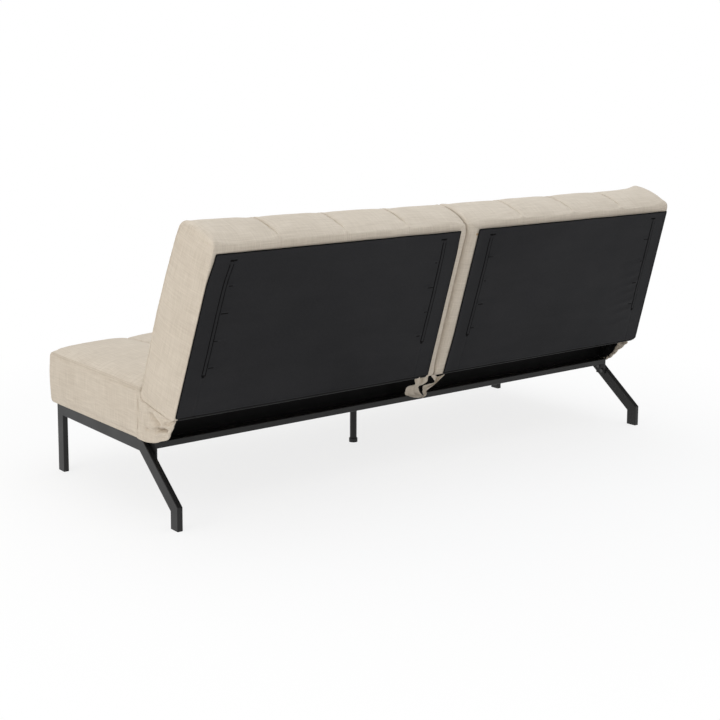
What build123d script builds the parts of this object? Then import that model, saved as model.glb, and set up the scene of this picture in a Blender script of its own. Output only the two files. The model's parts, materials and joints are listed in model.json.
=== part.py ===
from build123d import *
from math import atan2, cos, degrees, hypot, pi, radians, sin, tan
import os

# Sofa bed with two back halves that fold flat on ratchet hinges.
# Millimetres, +Z up, the front faces -Y, left is the sitter's left (+X).

# Seat block
seat_width = 1980.0
seat_depth = 603.0
seat_rear = 134.8          # Y of the seat's rear face
seat_bottom = 221.0
seat_tall = 191.0          # bottom to the top edge's roll along the front
seat_crown = 10.0          # rise of the top between front and rear
seat_front_bulge = 5.0
seat_front_roll = 44.0
seat_rear_roll = 26.0
seat_low_roll = 18.0
seat_end_draw = 28.0       # how far the ends are drawn in at the welt
seat_end_roll = 22.0       # length of the rolled stretch at each end
seat_channel = 13.0        # depth of the seat's sewn channels
channel_pitch = 238.0      # between sewn channels, on the seat and the back
channel_count = 3          # in each half

# Steel tube base
tube_deep = 40.0
tube_wide = 18.0
tube_wall = 1.5
tube_corner = 2.5
hem_drop = 8.0             # the seat's cover hangs this far over the side rails
hem_thick = 5.0
front_leg_setback = 40.0
bend_ahead = 9.0           # side rail's bend, ahead of the seat's rear face
rear_foot_behind = 181.0   # rear foot's middle, behind the seat's rear face
rear_knee_height = 61.0
rail_tall = 20.0
rear_rail_behind = 11.0    # rear rail's front face, behind the seat's rear face
rear_rail_over = 5.0       # rear rail's top, above the seat's bottom
front_rail_behind = 80.0   # front rail's front face, behind the seat's front
flange_thick = 5.0
flange_low = 58.0
cap_flange = 3.0
cap_plug = 15.0
cap_clear = 0.2
least_corner = 0.5
centre_leg_dia = 24.0
centre_leg_behind = 353.0  # centre leg's middle, behind the seat's front
centre_foot_dia = 30.0
centre_foot_tall = 14.0
centre_foot_edge = 1.0
tab_long = 50.0
tab_thick = 4.0
tab_front = 225.0          # front tabs' middles, behind the seat's front
tab_rear = 88.0            # rear tabs' middles, ahead of the seat's rear face

# Wood and cloth
board = 25.0
seat_board_tall = 102.0
seat_front_pad = 30.0      # foam in front of the wooden seat frame
seat_rear_pad = 11.0
cloth = 1.7
webbing_thick = 2.0
webbing_wide = 60.0
seat_straps = 6            # straps on each half of the seat
back_straps = 4
soft_gap = 0.3             # clearance round a soft piece

# Back halves, measured from the hinge axis along the back (up) and through it (rearward)
recline = 17.73
hinge_behind = 62.0        # hinge axis, behind the seat's rear face
hinge_below = 46.0         # hinge axis, below the seat's shoulder
back_ahead = 60.0          # front crest, ahead of the axis
back_thick = 186.0
back_below = 31.5          # bottom, below the axis
back_rise = 548.0          # top, above the axis, where the front's roll begins
back_top_fall = 8.0        # from there down to where the rear's roll begins
back_crown = 20.0
back_top_sag = 6.0
back_top_roll = 44.0
back_rear_top_roll = 24.0
back_channel = 6.0         # depth of the back's sewn channels
back_low_roll = 25.0
back_rear_roll = 16.0
half_gap = 6.0             # between the two halves
back_side_in = 2.0         # outer side at the bottom, in from the seat's end
back_side_draw = 41.0      # how much further in the outer side is at the top
side_taper = 3.0           # degrees that the outer side draws in toward the rear
back_end_draw = 10.0
back_low_pad = 26.5        # foam below the wooden back frame
back_top_pad = 58.0        # foam above it
back_pad = 116.0           # foam in front of the wooden back frame
back_frame_inset = 68.0    # outer stile, in from the back's outer side at the bottom
cover_side_inset = 2.0
cover_inner = 35.0         # inner edge of the rear dust cover
cover_low_in = 25.5        # bottom edge of the rear dust cover, up from the back's bottom
cover_top_in = 42.0        # its top edge, down from the back's top
cover_corner = 12.0
tuck_inset = 62.0
tuck_wide = 4.0
tuck_proud = 1.0
tuck_low_in = 130.0        # tucks' lower ends, up from the cover's bottom edge
tuck_top_in = 24.0

# Hinges
plate = 5.0
plate_gap = 0.5
pin_dia = 12.0
pin_clear = 0.05           # radial running clearance in the moving plate
pin_head_dia = 20.0
pin_head = 4.0
stud_head = 2.0
boss_radius = 18.0         # seat plate's round end
hub_radius = 21.0          # moving plate's round end
arm_lap = 72.0             # degrees round the hub to where the moving plate's arm leaves it
ratchet_radius = 30.0
tooth_depth = 4.5
tooth_step = 12.0          # degrees between ratchet positions
forward_steps = 1
rearward_steps = 6
gap_mouth = 4.2            # tooth gap's width at the rim and at its root
gap_root = 2.8
rim_end = 2.4              # degrees of plain rim cut away at each end of the teeth
pawl_arm = 24.0
pawl_radius = 7.0
pawl_neck = 3.5            # width of the pawl's lever
pawl_over = 4.0            # lever's end, above its nose
pawl_swing = 8.0           # degrees from lifted to engaged
pawl_tip_gap = 0.5         # lifted pawl's nose to the tooth tips
nose_long = 4.6
nose_base = 2.0
nose_tip = 1.1
stud_dia = 6.0
arm_over = 4.6             # seat plate's arm, above the wooden rear rail
arm_fall = 42.5            # slope of its top edge, from the axis's boss to the foot
plate_foot_wide = 45.0
plate_foot_up = 27.6       # foot's lower edge, above the wooden rail's bottom
bolt_dia = 8.0
bolt_head_dia = 15.0
bolt_head = 4.0
bolt_edge = 1.3            # chamfer round a bolt's head
bolt_space = 2.0           # between bolt heads, and round them
bolt_grip = 18.0           # thread length in wood
hinge_bolt_pitch = 40.0
back_bolt_in = 32.0        # moving plate's bolts, from the frame's front
back_bolt_low = 20.0
back_bolt_pitch = 70.0
slot_clear = 0.6           # slots in foam round the hinge's steel
pocket_room = 3.0          # more room where the seat plate sweeps through the back's foam
over = 1.0                 # how far a cut runs past a face

# Loose fabric under the hinges
gusset_thick = 2.5
gusset_fold = 24.0         # height of half a fold
gusset_swing = 4.5         # depth of a fold
gusset_lift = 9.0          # lower edge, above the seat's bottom
gusset_reach = 172.0       # lower rear corner, behind the seat's rear face
gusset_rise = 54.0         # lower rear corner, above the seat's bottom
gusset_end_in = 15.0       # middle of an end gusset, in from the seat's end
gusset_centre_out = 13.0   # middle of a centre gusset, out from the middle

# Worked-out places
seat_half = seat_width / 2
seat_front = seat_rear - seat_depth
tube_outer = seat_half - hem_thick
tube_inner = tube_outer - tube_wide
seat_shoulder = seat_bottom + seat_tall
rail_top = seat_bottom + hem_drop
rear_rail_top = seat_bottom + rear_rail_over
base_top = seat_bottom - soft_gap
frame_bottom = base_top + cloth
frame_top = frame_bottom + seat_board_tall
frame_front = seat_front + seat_front_pad
frame_rear = seat_rear - seat_rear_pad
hinge_y = seat_rear + hinge_behind
hinge_height = seat_shoulder - hinge_below
arm_low = frame_top + arm_over
plate_foot_low = frame_bottom + plate_foot_up
back_side_low = seat_half - back_side_in
back_rear_rise = back_rise - back_top_fall
back_frame_low = back_below - back_low_pad
back_frame_rise = back_rise - back_top_pad
cover_low = back_below - cover_low_in
cover_rise = back_rise - cover_top_in
tuck_low = tuck_low_in - cover_low
tuck_rise = cover_rise - tuck_top_in
back_rear = back_thick - back_ahead
cover_face = back_rear - cloth
frame_face = cover_face - soft_gap
back_front = back_crown - back_ahead
webbing_face = back_pad - back_ahead
plate_set = 2 * plate + plate_gap
stile_outer = back_side_low - back_frame_inset
rail_inner_face = stile_outer + plate_set
centre_rail_half = board
stile_inner = centre_rail_half + plate_set
channels = [channel_pitch * (k + 1) + half_gap / 2 for k in range(channel_count)]
side_lean = degrees(atan2(back_side_draw, back_rise + back_below))
standing = (Align.CENTER, Align.CENTER, Align.MIN)


def back_point(n, u):
    """World (Y, Z) of a point n behind the hinge axis and u up the back."""
    c, s = cos(radians(recline)), sin(radians(recline))
    return (hinge_y + n * c + u * s, hinge_height - n * s + u * c)


def back_plane(x, lean=0.0, taper=0.0):
    """Plane across a back half at x: local x runs rearward, local y up the back."""
    c, s = cos(radians(recline)), sin(radians(recline))
    up, rearward = tan(radians(lean)), tan(radians(taper))
    return Plane(origin=(x, hinge_y, hinge_height), x_dir=(-rearward, c, -s),
                 z_dir=(1, up * s + rearward * c, up * c - rearward * s))


def side_x(n, u):
    """X of the left half's outer side at a point of the back."""
    return back_side_low - (u + back_below) * tan(radians(side_lean)) - n * tan(radians(side_taper))


def side_plane(x):
    """Plane across the sofa at x: local x is Y, local y is Z."""
    return Plane(origin=(x, 0, 0), x_dir=(0, 1, 0), z_dir=(1, 0, 0))


def block(x0, x1, y0, y1, z0, z1):
    return Pos((x0 + x1) / 2, (y0 + y1) / 2, (z0 + z1) / 2) * Box(x1 - x0, y1 - y0, z1 - z0)


def back_block(x0, x1, n0, n1, u0, u1):
    shape = Pos((n0 + n1) / 2, (u0 + u1) / 2) * Rectangle(n1 - n0, u1 - u0)
    return extrude(back_plane(x0) * shape, amount=x1 - x0)


def rod(x0, x1, y, z, dia):
    """Round bar along X."""
    return extrude(Plane.YZ.offset(x0) * Pos(y, z) * Circle(dia / 2), amount=x1 - x0)


def bow(start, end, sag):
    """Arc from start to end that stands out by sag on its right-hand side."""
    dx, dy = end[0] - start[0], end[1] - start[1]
    length = hypot(dx, dy)
    middle = ((start[0] + end[0]) / 2 + dy / length * sag, (start[1] + end[1]) / 2 - dx / length * sag)
    return ThreePointArc(start, middle, end)


def quarter(start, end):
    """Quarter circle from start to end, turning left."""
    chord = hypot(end[0] - start[0], end[1] - start[1])
    return bow(start, end, chord / 2 * tan(pi / 8))


def mirrored(shape):
    return mirror(shape, about=Plane.YZ)


def group(shapes):
    return Compound(children=[solid for shape in shapes for solid in shape.solids()])


def tube_profile(grow=0.0):
    return RectangleRounded(tube_deep + 2 * grow, tube_wide + 2 * grow, max(tube_corner + grow, least_corner))


def end_frame():
    """Front leg, side rail, slope and rear foot of one bent and mitred tube, open below."""
    front_y = seat_front + front_leg_setback + tube_deep / 2
    rail_z = rail_top - tube_deep / 2
    path_points = [
        (front_y, cap_flange),
        (front_y, rail_z),
        (seat_rear - bend_ahead, rail_z),
        (seat_rear + rear_foot_behind, rear_knee_height),
        (seat_rear + rear_foot_behind, cap_flange),
    ]
    path = side_plane(tube_inner + tube_wide / 2) * Polyline(*path_points)
    start = Plane(origin=path @ 0, x_dir=(0, 1, 0), z_dir=(0, 0, 1))
    outer = sweep(start * tube_profile(), path=path, transition=Transition.RIGHT)
    inner = sweep(start * tube_profile(-tube_wall), path=path, transition=Transition.RIGHT)
    return outer - inner


def foot_cap(y):
    x = tube_inner + tube_wide / 2
    sole = extrude(Pos(x, y, 0) * Rot(0, 0, 90) * tube_profile(), amount=cap_flange)
    plug = Pos(x, y, cap_flange) * Rot(0, 0, 90) * tube_profile(-tube_wall - cap_clear)
    return sole + extrude(plug, amount=cap_plug)


def rail_tube(length, centre):
    """Flat tube along X."""
    across = Plane(origin=centre, x_dir=(0, 1, 0), z_dir=(1, 0, 0))
    skin = RectangleRounded(tube_deep, rail_tall, tube_corner)
    bore = RectangleRounded(tube_deep - 2 * tube_wall, rail_tall - 2 * tube_wall, tube_corner - tube_wall)
    return extrude(across * (skin - bore), amount=length / 2, both=True)


def bolt(grip):
    """Round-headed bolt along +Z: its head lies below Z 0 and its shank above."""
    dome = Pos(0, 0, -bolt_head) * Cylinder(bolt_head_dia / 2, bolt_head, align=standing)
    dome = chamfer(dome.edges().group_by(Axis.Z)[0], bolt_edge)
    return dome + Cylinder(bolt_dia / 2, grip, align=standing)


def seat_section(inset):
    """Outline across the seat; inset draws the top and the front's upper edge in."""
    front = seat_front + inset / 2
    top = seat_shoulder - inset
    low_front = (seat_front + seat_low_roll, seat_bottom)
    low_rear = (seat_rear, seat_bottom)
    rear_edge = (seat_rear, top - seat_rear_roll)
    rear_top = (seat_rear - seat_rear_roll, top)
    front_top = (front + seat_front_roll, top)
    front_edge = (front, top - seat_front_roll)
    front_foot = (seat_front, seat_bottom + seat_low_roll)
    return make_face([
        Line(low_front, low_rear),
        Line(low_rear, rear_edge),
        quarter(rear_edge, rear_top),
        bow(rear_top, front_top, seat_crown),
        quarter(front_top, front_edge),
        bow(front_edge, front_foot, seat_front_bulge),
        quarter(front_foot, low_front),
    ])


def back_section(inset):
    """Outline across a back half; inset draws the front and the top in, but not the rear face."""
    front = back_front + inset
    top = back_rise - inset
    low = -back_below
    low_front = (front + back_low_roll, low)
    low_rear = (frame_face - back_rear_roll, low)
    rear_low = (frame_face, low + back_rear_roll)
    rear_edge = (frame_face, back_rear_rise - back_rear_top_roll - inset)
    rear_top = (frame_face - back_rear_top_roll, back_rear_rise - inset)
    front_top = (front + back_top_roll, top)
    front_edge = (front, top - back_top_roll)
    front_low = (front, low + back_low_roll)
    return make_face([
        Line(low_front, low_rear),
        quarter(low_rear, rear_low),
        Line(rear_low, rear_edge),
        quarter(rear_edge, rear_top),
        bow(rear_top, front_top, back_top_sag),
        quarter(front_top, front_edge),
        bow(front_edge, front_low, back_crown),
        quarter(front_low, low_front),
    ])


def seat_column(stations):
    return loft([side_plane(x) * seat_section(inset) for x, inset in stations])


def seat_cushion():
    """Foam and cover: crowned columns between sewn channels, hollow below for the frame."""
    edges = [0.0] + channels
    columns = []
    for x0, x1 in zip(edges, edges[1:]):
        columns.append(seat_column([(x0, seat_channel), ((x0 + x1) / 2, 0.0), (x1, seat_channel)]))
    last = edges[-1]
    roll = seat_half - seat_end_roll
    columns.append(seat_column([(last, seat_channel), ((last + roll) / 2, 0.0), (roll, seat_channel / 2)]))
    columns.append(seat_column([(roll, seat_channel / 2), (seat_half, seat_end_draw)]))
    half = columns[0].fuse(*columns[1:])
    pad = half.fuse(mirrored(half))
    wide = rail_inner_face + board + soft_gap
    hollow = block(-wide, wide, frame_front - soft_gap, frame_rear + soft_gap,
                   seat_bottom - over, frame_top + webbing_thick + soft_gap)
    pad = pad - hollow
    for side in (1, -1):
        x0, x1 = sorted((side * (tube_inner - soft_gap), side * (tube_outer + soft_gap)))
        pad = pad - block(x0, x1, seat_front + front_leg_setback - soft_gap, seat_rear + over,
                          seat_bottom - over, rail_top + soft_gap)
        for x in hinge_places():
            x0, x1 = sorted((side * (x[0] - slot_clear), side * (x[1] + slot_clear)))
            pad = pad - block(x0, x1, frame_rear - board - plate_foot_wide - 2 * slot_clear,
                              seat_rear + over, frame_top - over, hinge_height + boss_radius + slot_clear)
    return pad


def hinge_places():
    """X ranges of the seat plates on the +X side: outer hinge, then inner hinge."""
    outer = (stile_outer + plate + plate_gap, rail_inner_face)
    inner = (centre_rail_half, centre_rail_half + plate)
    return [outer, inner]


def moving_places():
    """X ranges of the moving plates on the +X side: outer hinge, then inner hinge."""
    outer = (stile_outer, stile_outer + plate)
    inner = (stile_inner - plate, stile_inner)
    return [outer, inner]


def hinge_pocket(seat_range, moving_range):
    """Room in the back's foam for one hinge: the plates, the pin heads and the seat plate's sweep."""
    x0 = min(seat_range[0], moving_range[0]) - pin_head - slot_clear
    x1 = max(seat_range[1], moving_range[1]) + pin_head + slot_clear
    sweep_low = hinge_height - arm_low + slot_clear + pocket_room
    reach = ratchet_radius + pawl_arm
    corner = back_block(x0, x1, -back_ahead - reach, sweep_low, -back_below - reach,
                        boss_radius + slot_clear + pocket_room)
    plate_top = back_bolt_low + back_bolt_pitch + bolt_head_dia + slot_clear
    hub = back_block(x0, x1, -ratchet_radius - slot_clear, webbing_face, -back_below - over, plate_top)
    return corner + hub


def back_cushion():
    """Foam and cover of the left half: crowned columns, open behind for the frame."""
    edges = [half_gap / 2] + channels
    columns = []
    for k, (x0, x1) in enumerate(zip(edges, edges[1:])):
        first = back_channel if k else back_end_draw
        stations = [(x0, first), ((x0 + x1) / 2, 0.0), (x1, back_channel)]
        columns.append(loft([back_plane(x) * back_section(inset) for x, inset in stations]))
    last = edges[-1]
    side = side_x(0, 0)
    outer = [
        back_plane(last) * back_section(back_channel),
        back_plane((last + side) / 2, side_lean / 2, side_taper / 2) * back_section(0.0),
        back_plane(side, side_lean, side_taper) * back_section(back_end_draw),
    ]
    columns.append(loft(outer))
    pad = columns[0].fuse(*columns[1:])
    pad = pad - back_block(stile_inner - soft_gap, stile_outer + soft_gap,
                           webbing_face - webbing_thick - soft_gap, back_rear,
                           -back_frame_low - soft_gap, back_frame_rise + soft_gap)
    for seat_range, moving_range in zip(hinge_places(), moving_places()):
        pad = pad - hinge_pocket(seat_range, moving_range)
    for x0, x1 in moving_places():
        pad = pad - back_block(x0 - bolt_head - slot_clear, x1 + bolt_head + slot_clear,
                               webbing_face - over, frame_face + over,
                               -back_frame_low - soft_gap, back_bolt_low + back_bolt_pitch + bolt_head_dia)
    return pad


def back_frame():
    """Four boards of the left half: two stiles and two rails between them."""
    low, high = -back_frame_low, back_frame_rise
    n0, n1 = webbing_face, frame_face
    inner = back_block(stile_inner, stile_inner + board, n0, n1, low, high)
    outer = back_block(stile_outer - board, stile_outer, n0, n1, low, high)
    for cut in back_bolts():
        inner = inner - cut
        outer = outer - cut
    x0, x1 = stile_inner + board, stile_outer - board
    return group([
        inner, outer,
        back_block(x0, x1, n0, n1, high - board, high),
        back_block(x0, x1, n0, n1, low, low + board),
    ])


def back_webbing():
    """Straps up the front of the left half's frame."""
    space = (stile_outer - stile_inner - 2 * board) / back_straps
    straps = []
    for k in range(back_straps):
        x = stile_inner + board + space * (k + 0.5)
        straps.append(back_block(x - webbing_wide / 2, x + webbing_wide / 2, webbing_face - webbing_thick,
                                 webbing_face, -back_frame_low, back_frame_rise))
    return group(straps)


def rear_cover():
    """Black cloth over the left half's rear, with two sewn tucks."""
    def side_at(u):
        return side_x(back_rear, u) - cover_side_inset
    corners = [(cover_inner, -cover_low), (side_at(-cover_low), -cover_low),
               (side_at(cover_rise), cover_rise), (cover_inner, cover_rise)]
    c, s = cos(radians(recline)), sin(radians(recline))
    face_y = hinge_y + cover_face * c
    face_z = hinge_height - cover_face * s
    rear = Plane(origin=(0, face_y, face_z), x_dir=(1, 0, 0), z_dir=(0, -c, s))
    outline = Polyline(*corners, close=True)
    sheet = make_face(outline)
    sheet = fillet(sheet.vertices(), cover_corner)
    cover = extrude(rear * sheet, amount=-cloth)
    for low_x, high_x in ((cover_inner + tuck_inset,) * 2,
                          (side_at(tuck_low) - tuck_inset, side_at(tuck_rise) - tuck_inset)):
        half = tuck_wide / 2
        ridge = Polyline((low_x - half, tuck_low), (low_x + half, tuck_low), (high_x + half, tuck_rise),
                         (high_x - half, tuck_rise), close=True)
        cover = cover + extrude(rear * make_face(ridge), amount=-cloth - tuck_proud)
    return cover


def tooth_gap(angle):
    """Gap between two ratchet teeth, centred on a direction from the axis."""
    root = ratchet_radius - tooth_depth
    rim = ratchet_radius + over
    flare = gap_mouth + (gap_mouth - gap_root) / tooth_depth * over
    points = [(root, -gap_root / 2), (rim, -flare / 2), (rim, flare / 2), (root, gap_root / 2)]
    return Rot(0, 0, angle) * make_face(Polyline(*points, close=True))


def moving_plate(x0):
    """Back's hinge plate: hub with ratchet teeth, widening to the foot bolted on the stile."""
    foot_top = back_bolt_low + back_bolt_pitch + bolt_head_dia
    lap_n, lap_u = hub_radius * cos(radians(arm_lap)), hub_radius * sin(radians(arm_lap))
    arm = Polyline((-lap_n, lap_u), (webbing_face, foot_top), (frame_face - plate, foot_top),
                   (frame_face - plate, 0), (webbing_face, 0), (lap_n, -lap_u), close=True)
    toward_seat = 180 + recline
    first, last = -forward_steps - 1, rearward_steps + 1
    rim = Circle(ratchet_radius) & tooth_sector(toward_seat + first * tooth_step + rim_end,
                                                toward_seat + last * tooth_step - rim_end)
    shape = Circle(hub_radius) + make_face(arm) + rim
    for k in range(first + 1, last):
        shape = shape - tooth_gap(toward_seat + k * tooth_step)
    shape = shape - Circle(pin_dia / 2 + pin_clear)
    solid = extrude(back_plane(x0) * shape, amount=plate)
    for cut in back_bolts():
        solid = solid - cut
    return solid


def tooth_sector(start, end):
    reach = 2 * ratchet_radius
    points = [(0, 0)]
    steps = 4
    for k in range(steps + 1):
        angle = radians(start + (end - start) * k / steps)
        points.append((reach * cos(angle), reach * sin(angle)))
    return make_face(Polyline(*points, close=True))


def back_bolts():
    """Four bolts that hold the left half's moving plates on its stiles."""
    bolts = []
    n = webbing_face + back_bolt_in
    for (x0, x1), turn in zip(moving_places(), (-1, 1)):
        head_x = x1 if turn < 0 else x0
        for u in (back_bolt_low, back_bolt_low + back_bolt_pitch):
            y, z = back_point(n, u)
            bolts.append(Pos(head_x, y, z) * Rot(0, 90 * turn, 0) * bolt(plate + bolt_grip))
    return bolts


def pawl_pivot():
    """World (Y, Z) of the pawl's stud: below its nose, so that the nose moves toward the axis."""
    nose_root = ratchet_radius + pawl_tip_gap + nose_long
    return (hinge_y - nose_root - pawl_neck, hinge_height - pawl_arm)


def pawl(x0):
    """Lever on a stud, drawn lifted; its nose comes level with the axis when it swings into a gap."""
    y, z = pawl_pivot()
    tip_y = hinge_y - ratchet_radius - pawl_tip_gap
    root_y = tip_y - nose_long
    swing = radians(pawl_swing)
    nose_z = z + (pawl_arm + (tip_y - y) * sin(swing)) / cos(swing)
    lever = Pos(y, z) * Circle(pawl_radius)
    stem = Polyline((y - pawl_radius, z), (root_y, z), (root_y, nose_z + pawl_over),
                    (y - pawl_neck, nose_z + pawl_over), close=True)
    inside = root_y - pawl_neck / 2
    nose = Polyline((inside, nose_z - nose_base / 2), (tip_y, nose_z - nose_tip / 2),
                    (tip_y, nose_z + nose_tip / 2), (inside, nose_z + nose_base / 2), close=True)
    shape = lever + make_face(stem) + make_face(nose)
    shape = shape - Pos(y, z) * Circle(stud_dia / 2 + pin_clear)
    return extrude(side_plane(x0) * shape, amount=plate)


def seat_plate_bolts():
    """Bolts that hold the left seat plates on the end rail and the centre rail."""
    bolts = []
    y = frame_rear - board - plate_foot_wide / 2
    low = (plate_foot_low + arm_low - hinge_bolt_pitch) / 2
    for (x0, x1), turn in zip(hinge_places(), (1, -1)):
        head_x = x0 if turn > 0 else x1
        for z in (low, low + hinge_bolt_pitch):
            bolts.append(Pos(head_x, y, z) * Rot(0, 90 * turn, 0) * bolt(plate + bolt_grip))
    return bolts


def seat_plate(x0):
    """Seat's hinge plate: foot on the wooden rail, gooseneck over the rear rail, round end at the axis."""
    foot_rear = frame_rear - board - soft_gap
    foot_front = foot_rear - plate_foot_wide
    stud_y, stud_z = pawl_pivot()
    neck = Polyline((foot_front, plate_foot_low), (foot_rear, plate_foot_low), (foot_rear, arm_low),
                    (stud_y, arm_low), (hinge_y, hinge_height - boss_radius),
                    (hinge_y, hinge_height + boss_radius),
                    (foot_front, hinge_height + boss_radius - arm_fall), close=True)
    shape = make_face(neck) + Pos(hinge_y, hinge_height) * Circle(boss_radius)
    shape = shape - Pos(hinge_y, hinge_height) * Circle(pin_dia / 2)
    shape = shape - Pos(stud_y, stud_z) * Circle(stud_dia / 2)
    solid = extrude(side_plane(x0) * shape, amount=plate)
    for cut in seat_plate_bolts():
        solid = solid - cut
    return solid


def hinge_pin(seat_range, moving_range):
    """Pin riveted in the seat plate, with a head on each side."""
    x0 = min(seat_range[0], moving_range[0])
    x1 = max(seat_range[1], moving_range[1])
    shank = rod(x0, x1, hinge_y, hinge_height, pin_dia)
    near = rod(x0 - pin_head, x0, hinge_y, hinge_height, pin_head_dia)
    far = rod(x1, x1 + pin_head, hinge_y, hinge_height, pin_head_dia)
    if moving_range[0] < seat_range[0]:
        near = Pos(-plate_gap / 2, 0, 0) * near + rod(x0 - plate_gap / 2, x0, hinge_y, hinge_height, pin_dia)
    else:
        far = Pos(plate_gap / 2, 0, 0) * far + rod(x1, x1 + plate_gap / 2, hinge_y, hinge_height, pin_dia)
    return shank + near + far


def pawl_stud(seat_range, moving_range):
    """Stud riveted in the seat plate that carries a pawl, with a thin head outside the pawl."""
    y, z = pawl_pivot()
    head = stud_head
    if moving_range[0] < seat_range[0]:
        x0, x1 = moving_range[0] - plate_gap / 2, seat_range[1]
        return rod(x0, x1, y, z, stud_dia) + rod(x0 - head, x0, y, z, 2 * pawl_radius)
    x0, x1 = seat_range[0], moving_range[1] + plate_gap / 2
    return rod(x0, x1, y, z, stud_dia) + rod(x1, x1 + head, y, z, 2 * pawl_radius)


def folded_sheet(middle):
    """Cloth with folds that run along the back's lower edge, hung at x = middle."""
    c, s = cos(radians(recline)), sin(radians(recline))
    height = hinge_height - back_below - seat_bottom
    folds = int(height // gusset_fold) + 2
    below = back_below - gusset_fold
    front, rear = [], []
    for k in range(folds):
        y0, y1 = below + k * gusset_fold, below + (k + 1) * gusset_fold
        sag = gusset_swing if k % 2 else -gusset_swing
        front.append(bow((middle, y0), (middle, y1), sag))
        rear.append(bow((middle + gusset_thick, y0), (middle + gusset_thick, y1), sag))
    y0, y1 = below, below + folds * gusset_fold
    ends = [Line((middle, y0), (middle + gusset_thick, y0)), Line((middle, y1), (middle + gusset_thick, y1))]
    along = Plane(origin=(0, hinge_y, hinge_height), x_dir=(1, 0, 0), z_dir=(0, c, -s))
    strip = make_face(front + rear + ends)
    return extrude(along * strip, amount=back_thick, both=True)


def gusset(middle):
    """Folded cloth cut to the gap between the seat's rear face, the back's bottom and the open air."""
    start_y = seat_rear + cloth + 2 * soft_gap
    low = -back_below - soft_gap
    top_front = back_point(back_front + back_low_roll, low)
    top_rear = back_point(frame_face - back_rear_roll, low)
    low_front = (start_y, seat_bottom + gusset_lift)
    low_rear = (seat_rear + gusset_reach, seat_bottom + gusset_rise)
    outline = make_face([
        bow(low_front, low_rear, gusset_lift),
        Line(low_rear, top_rear),
        Line(top_rear, top_front),
        Line(top_front, (start_y, top_front[1])),
        Line((start_y, top_front[1]), low_front),
    ])
    room = 4 * gusset_swing
    prism = extrude(side_plane(middle - room) * outline, amount=2 * room)
    return folded_sheet(middle - gusset_thick / 2) & prism


def seat_boards():
    """The five boards of the wooden seat frame, by name."""
    inner, outer = rail_inner_face, rail_inner_face + board
    z0, z1 = frame_bottom, frame_top
    left = block(inner, outer, frame_front, frame_rear, z0, z1)
    centre = block(-centre_rail_half, centre_rail_half, frame_front + board, frame_rear - board, z0, z1)
    for cut in seat_plate_bolts() + seat_frame_bolts():
        left = left - cut
        centre = centre - cut - mirrored(cut)
    return {
        "seat_rail_left": left,
        "seat_rail_right": mirrored(left),
        "seat_rail_front": block(-inner, inner, frame_front, frame_front + board, z0, z1),
        "seat_rail_rear": block(-inner, inner, frame_rear - board, frame_rear, z0, z1),
        "seat_rail_centre": centre,
    }


def seat_webbing():
    """Straps from the front rail to the rear rail."""
    space = (rail_inner_face - 2 * board) / seat_straps
    straps = []
    for k in range(seat_straps):
        x = board + space * (k + 0.5)
        strap = block(x - webbing_wide / 2, x + webbing_wide / 2, frame_front, frame_rear,
                      frame_top, frame_top + webbing_thick)
        straps += [strap, mirrored(strap)]
    return group(straps)


def tab_places():
    return [seat_front + tab_front, seat_rear - tab_rear]


def seat_tabs():
    """Tabs welded inside the left side rail, under the seat's end rail."""
    tabs = []
    for y in tab_places():
        tab = block(rail_inner_face, tube_inner, y - tab_long / 2, y + tab_long / 2,
                    base_top - tab_thick, base_top)
        middle = rail_inner_face + board / 2
        hole = Pos(middle, y, base_top - tab_thick) * Cylinder(bolt_dia / 2, 4 * tab_thick)
        tabs.append(tab - hole)
    return tabs


def seat_frame_bolts():
    """Bolts up through the left tabs into the end rail."""
    bolts = []
    for y in tab_places():
        place = Pos(rail_inner_face + board / 2, y, base_top - tab_thick)
        bolts.append(place * bolt(tab_thick + cloth + bolt_grip))
    return bolts


def rail_y():
    """Middle of the rear rail and of the front rail."""
    return seat_rear + rear_rail_behind + tube_deep / 2, seat_front + front_rail_behind + tube_deep / 2


def flange():
    """Plate on the end of the rear rail, bolted against the left end frame's inner face."""
    middle, _ = rail_y()
    y0 = middle - tube_deep / 2
    outline = RectangleRounded(tube_deep, flange_low, tube_corner)
    inner_face = side_plane(tube_inner - flange_thick)
    solid = extrude(inner_face * Pos(middle, rear_rail_top - flange_low / 2) * outline, amount=flange_thick)
    bolts = []
    for k in (0, 1):
        y = y0 + bolt_head_dia / 2 + bolt_space + k * (bolt_head_dia + bolt_space)
        z = rear_rail_top - rail_tall - bolt_head_dia / 2 - 2 * bolt_space - k * bolt_head_dia
        bolts.append(Pos(tube_inner - flange_thick, y, z) * Rot(0, 90, 0) * bolt(flange_thick))
    for cut in bolts:
        solid = solid - cut
    return solid, bolts


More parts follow.
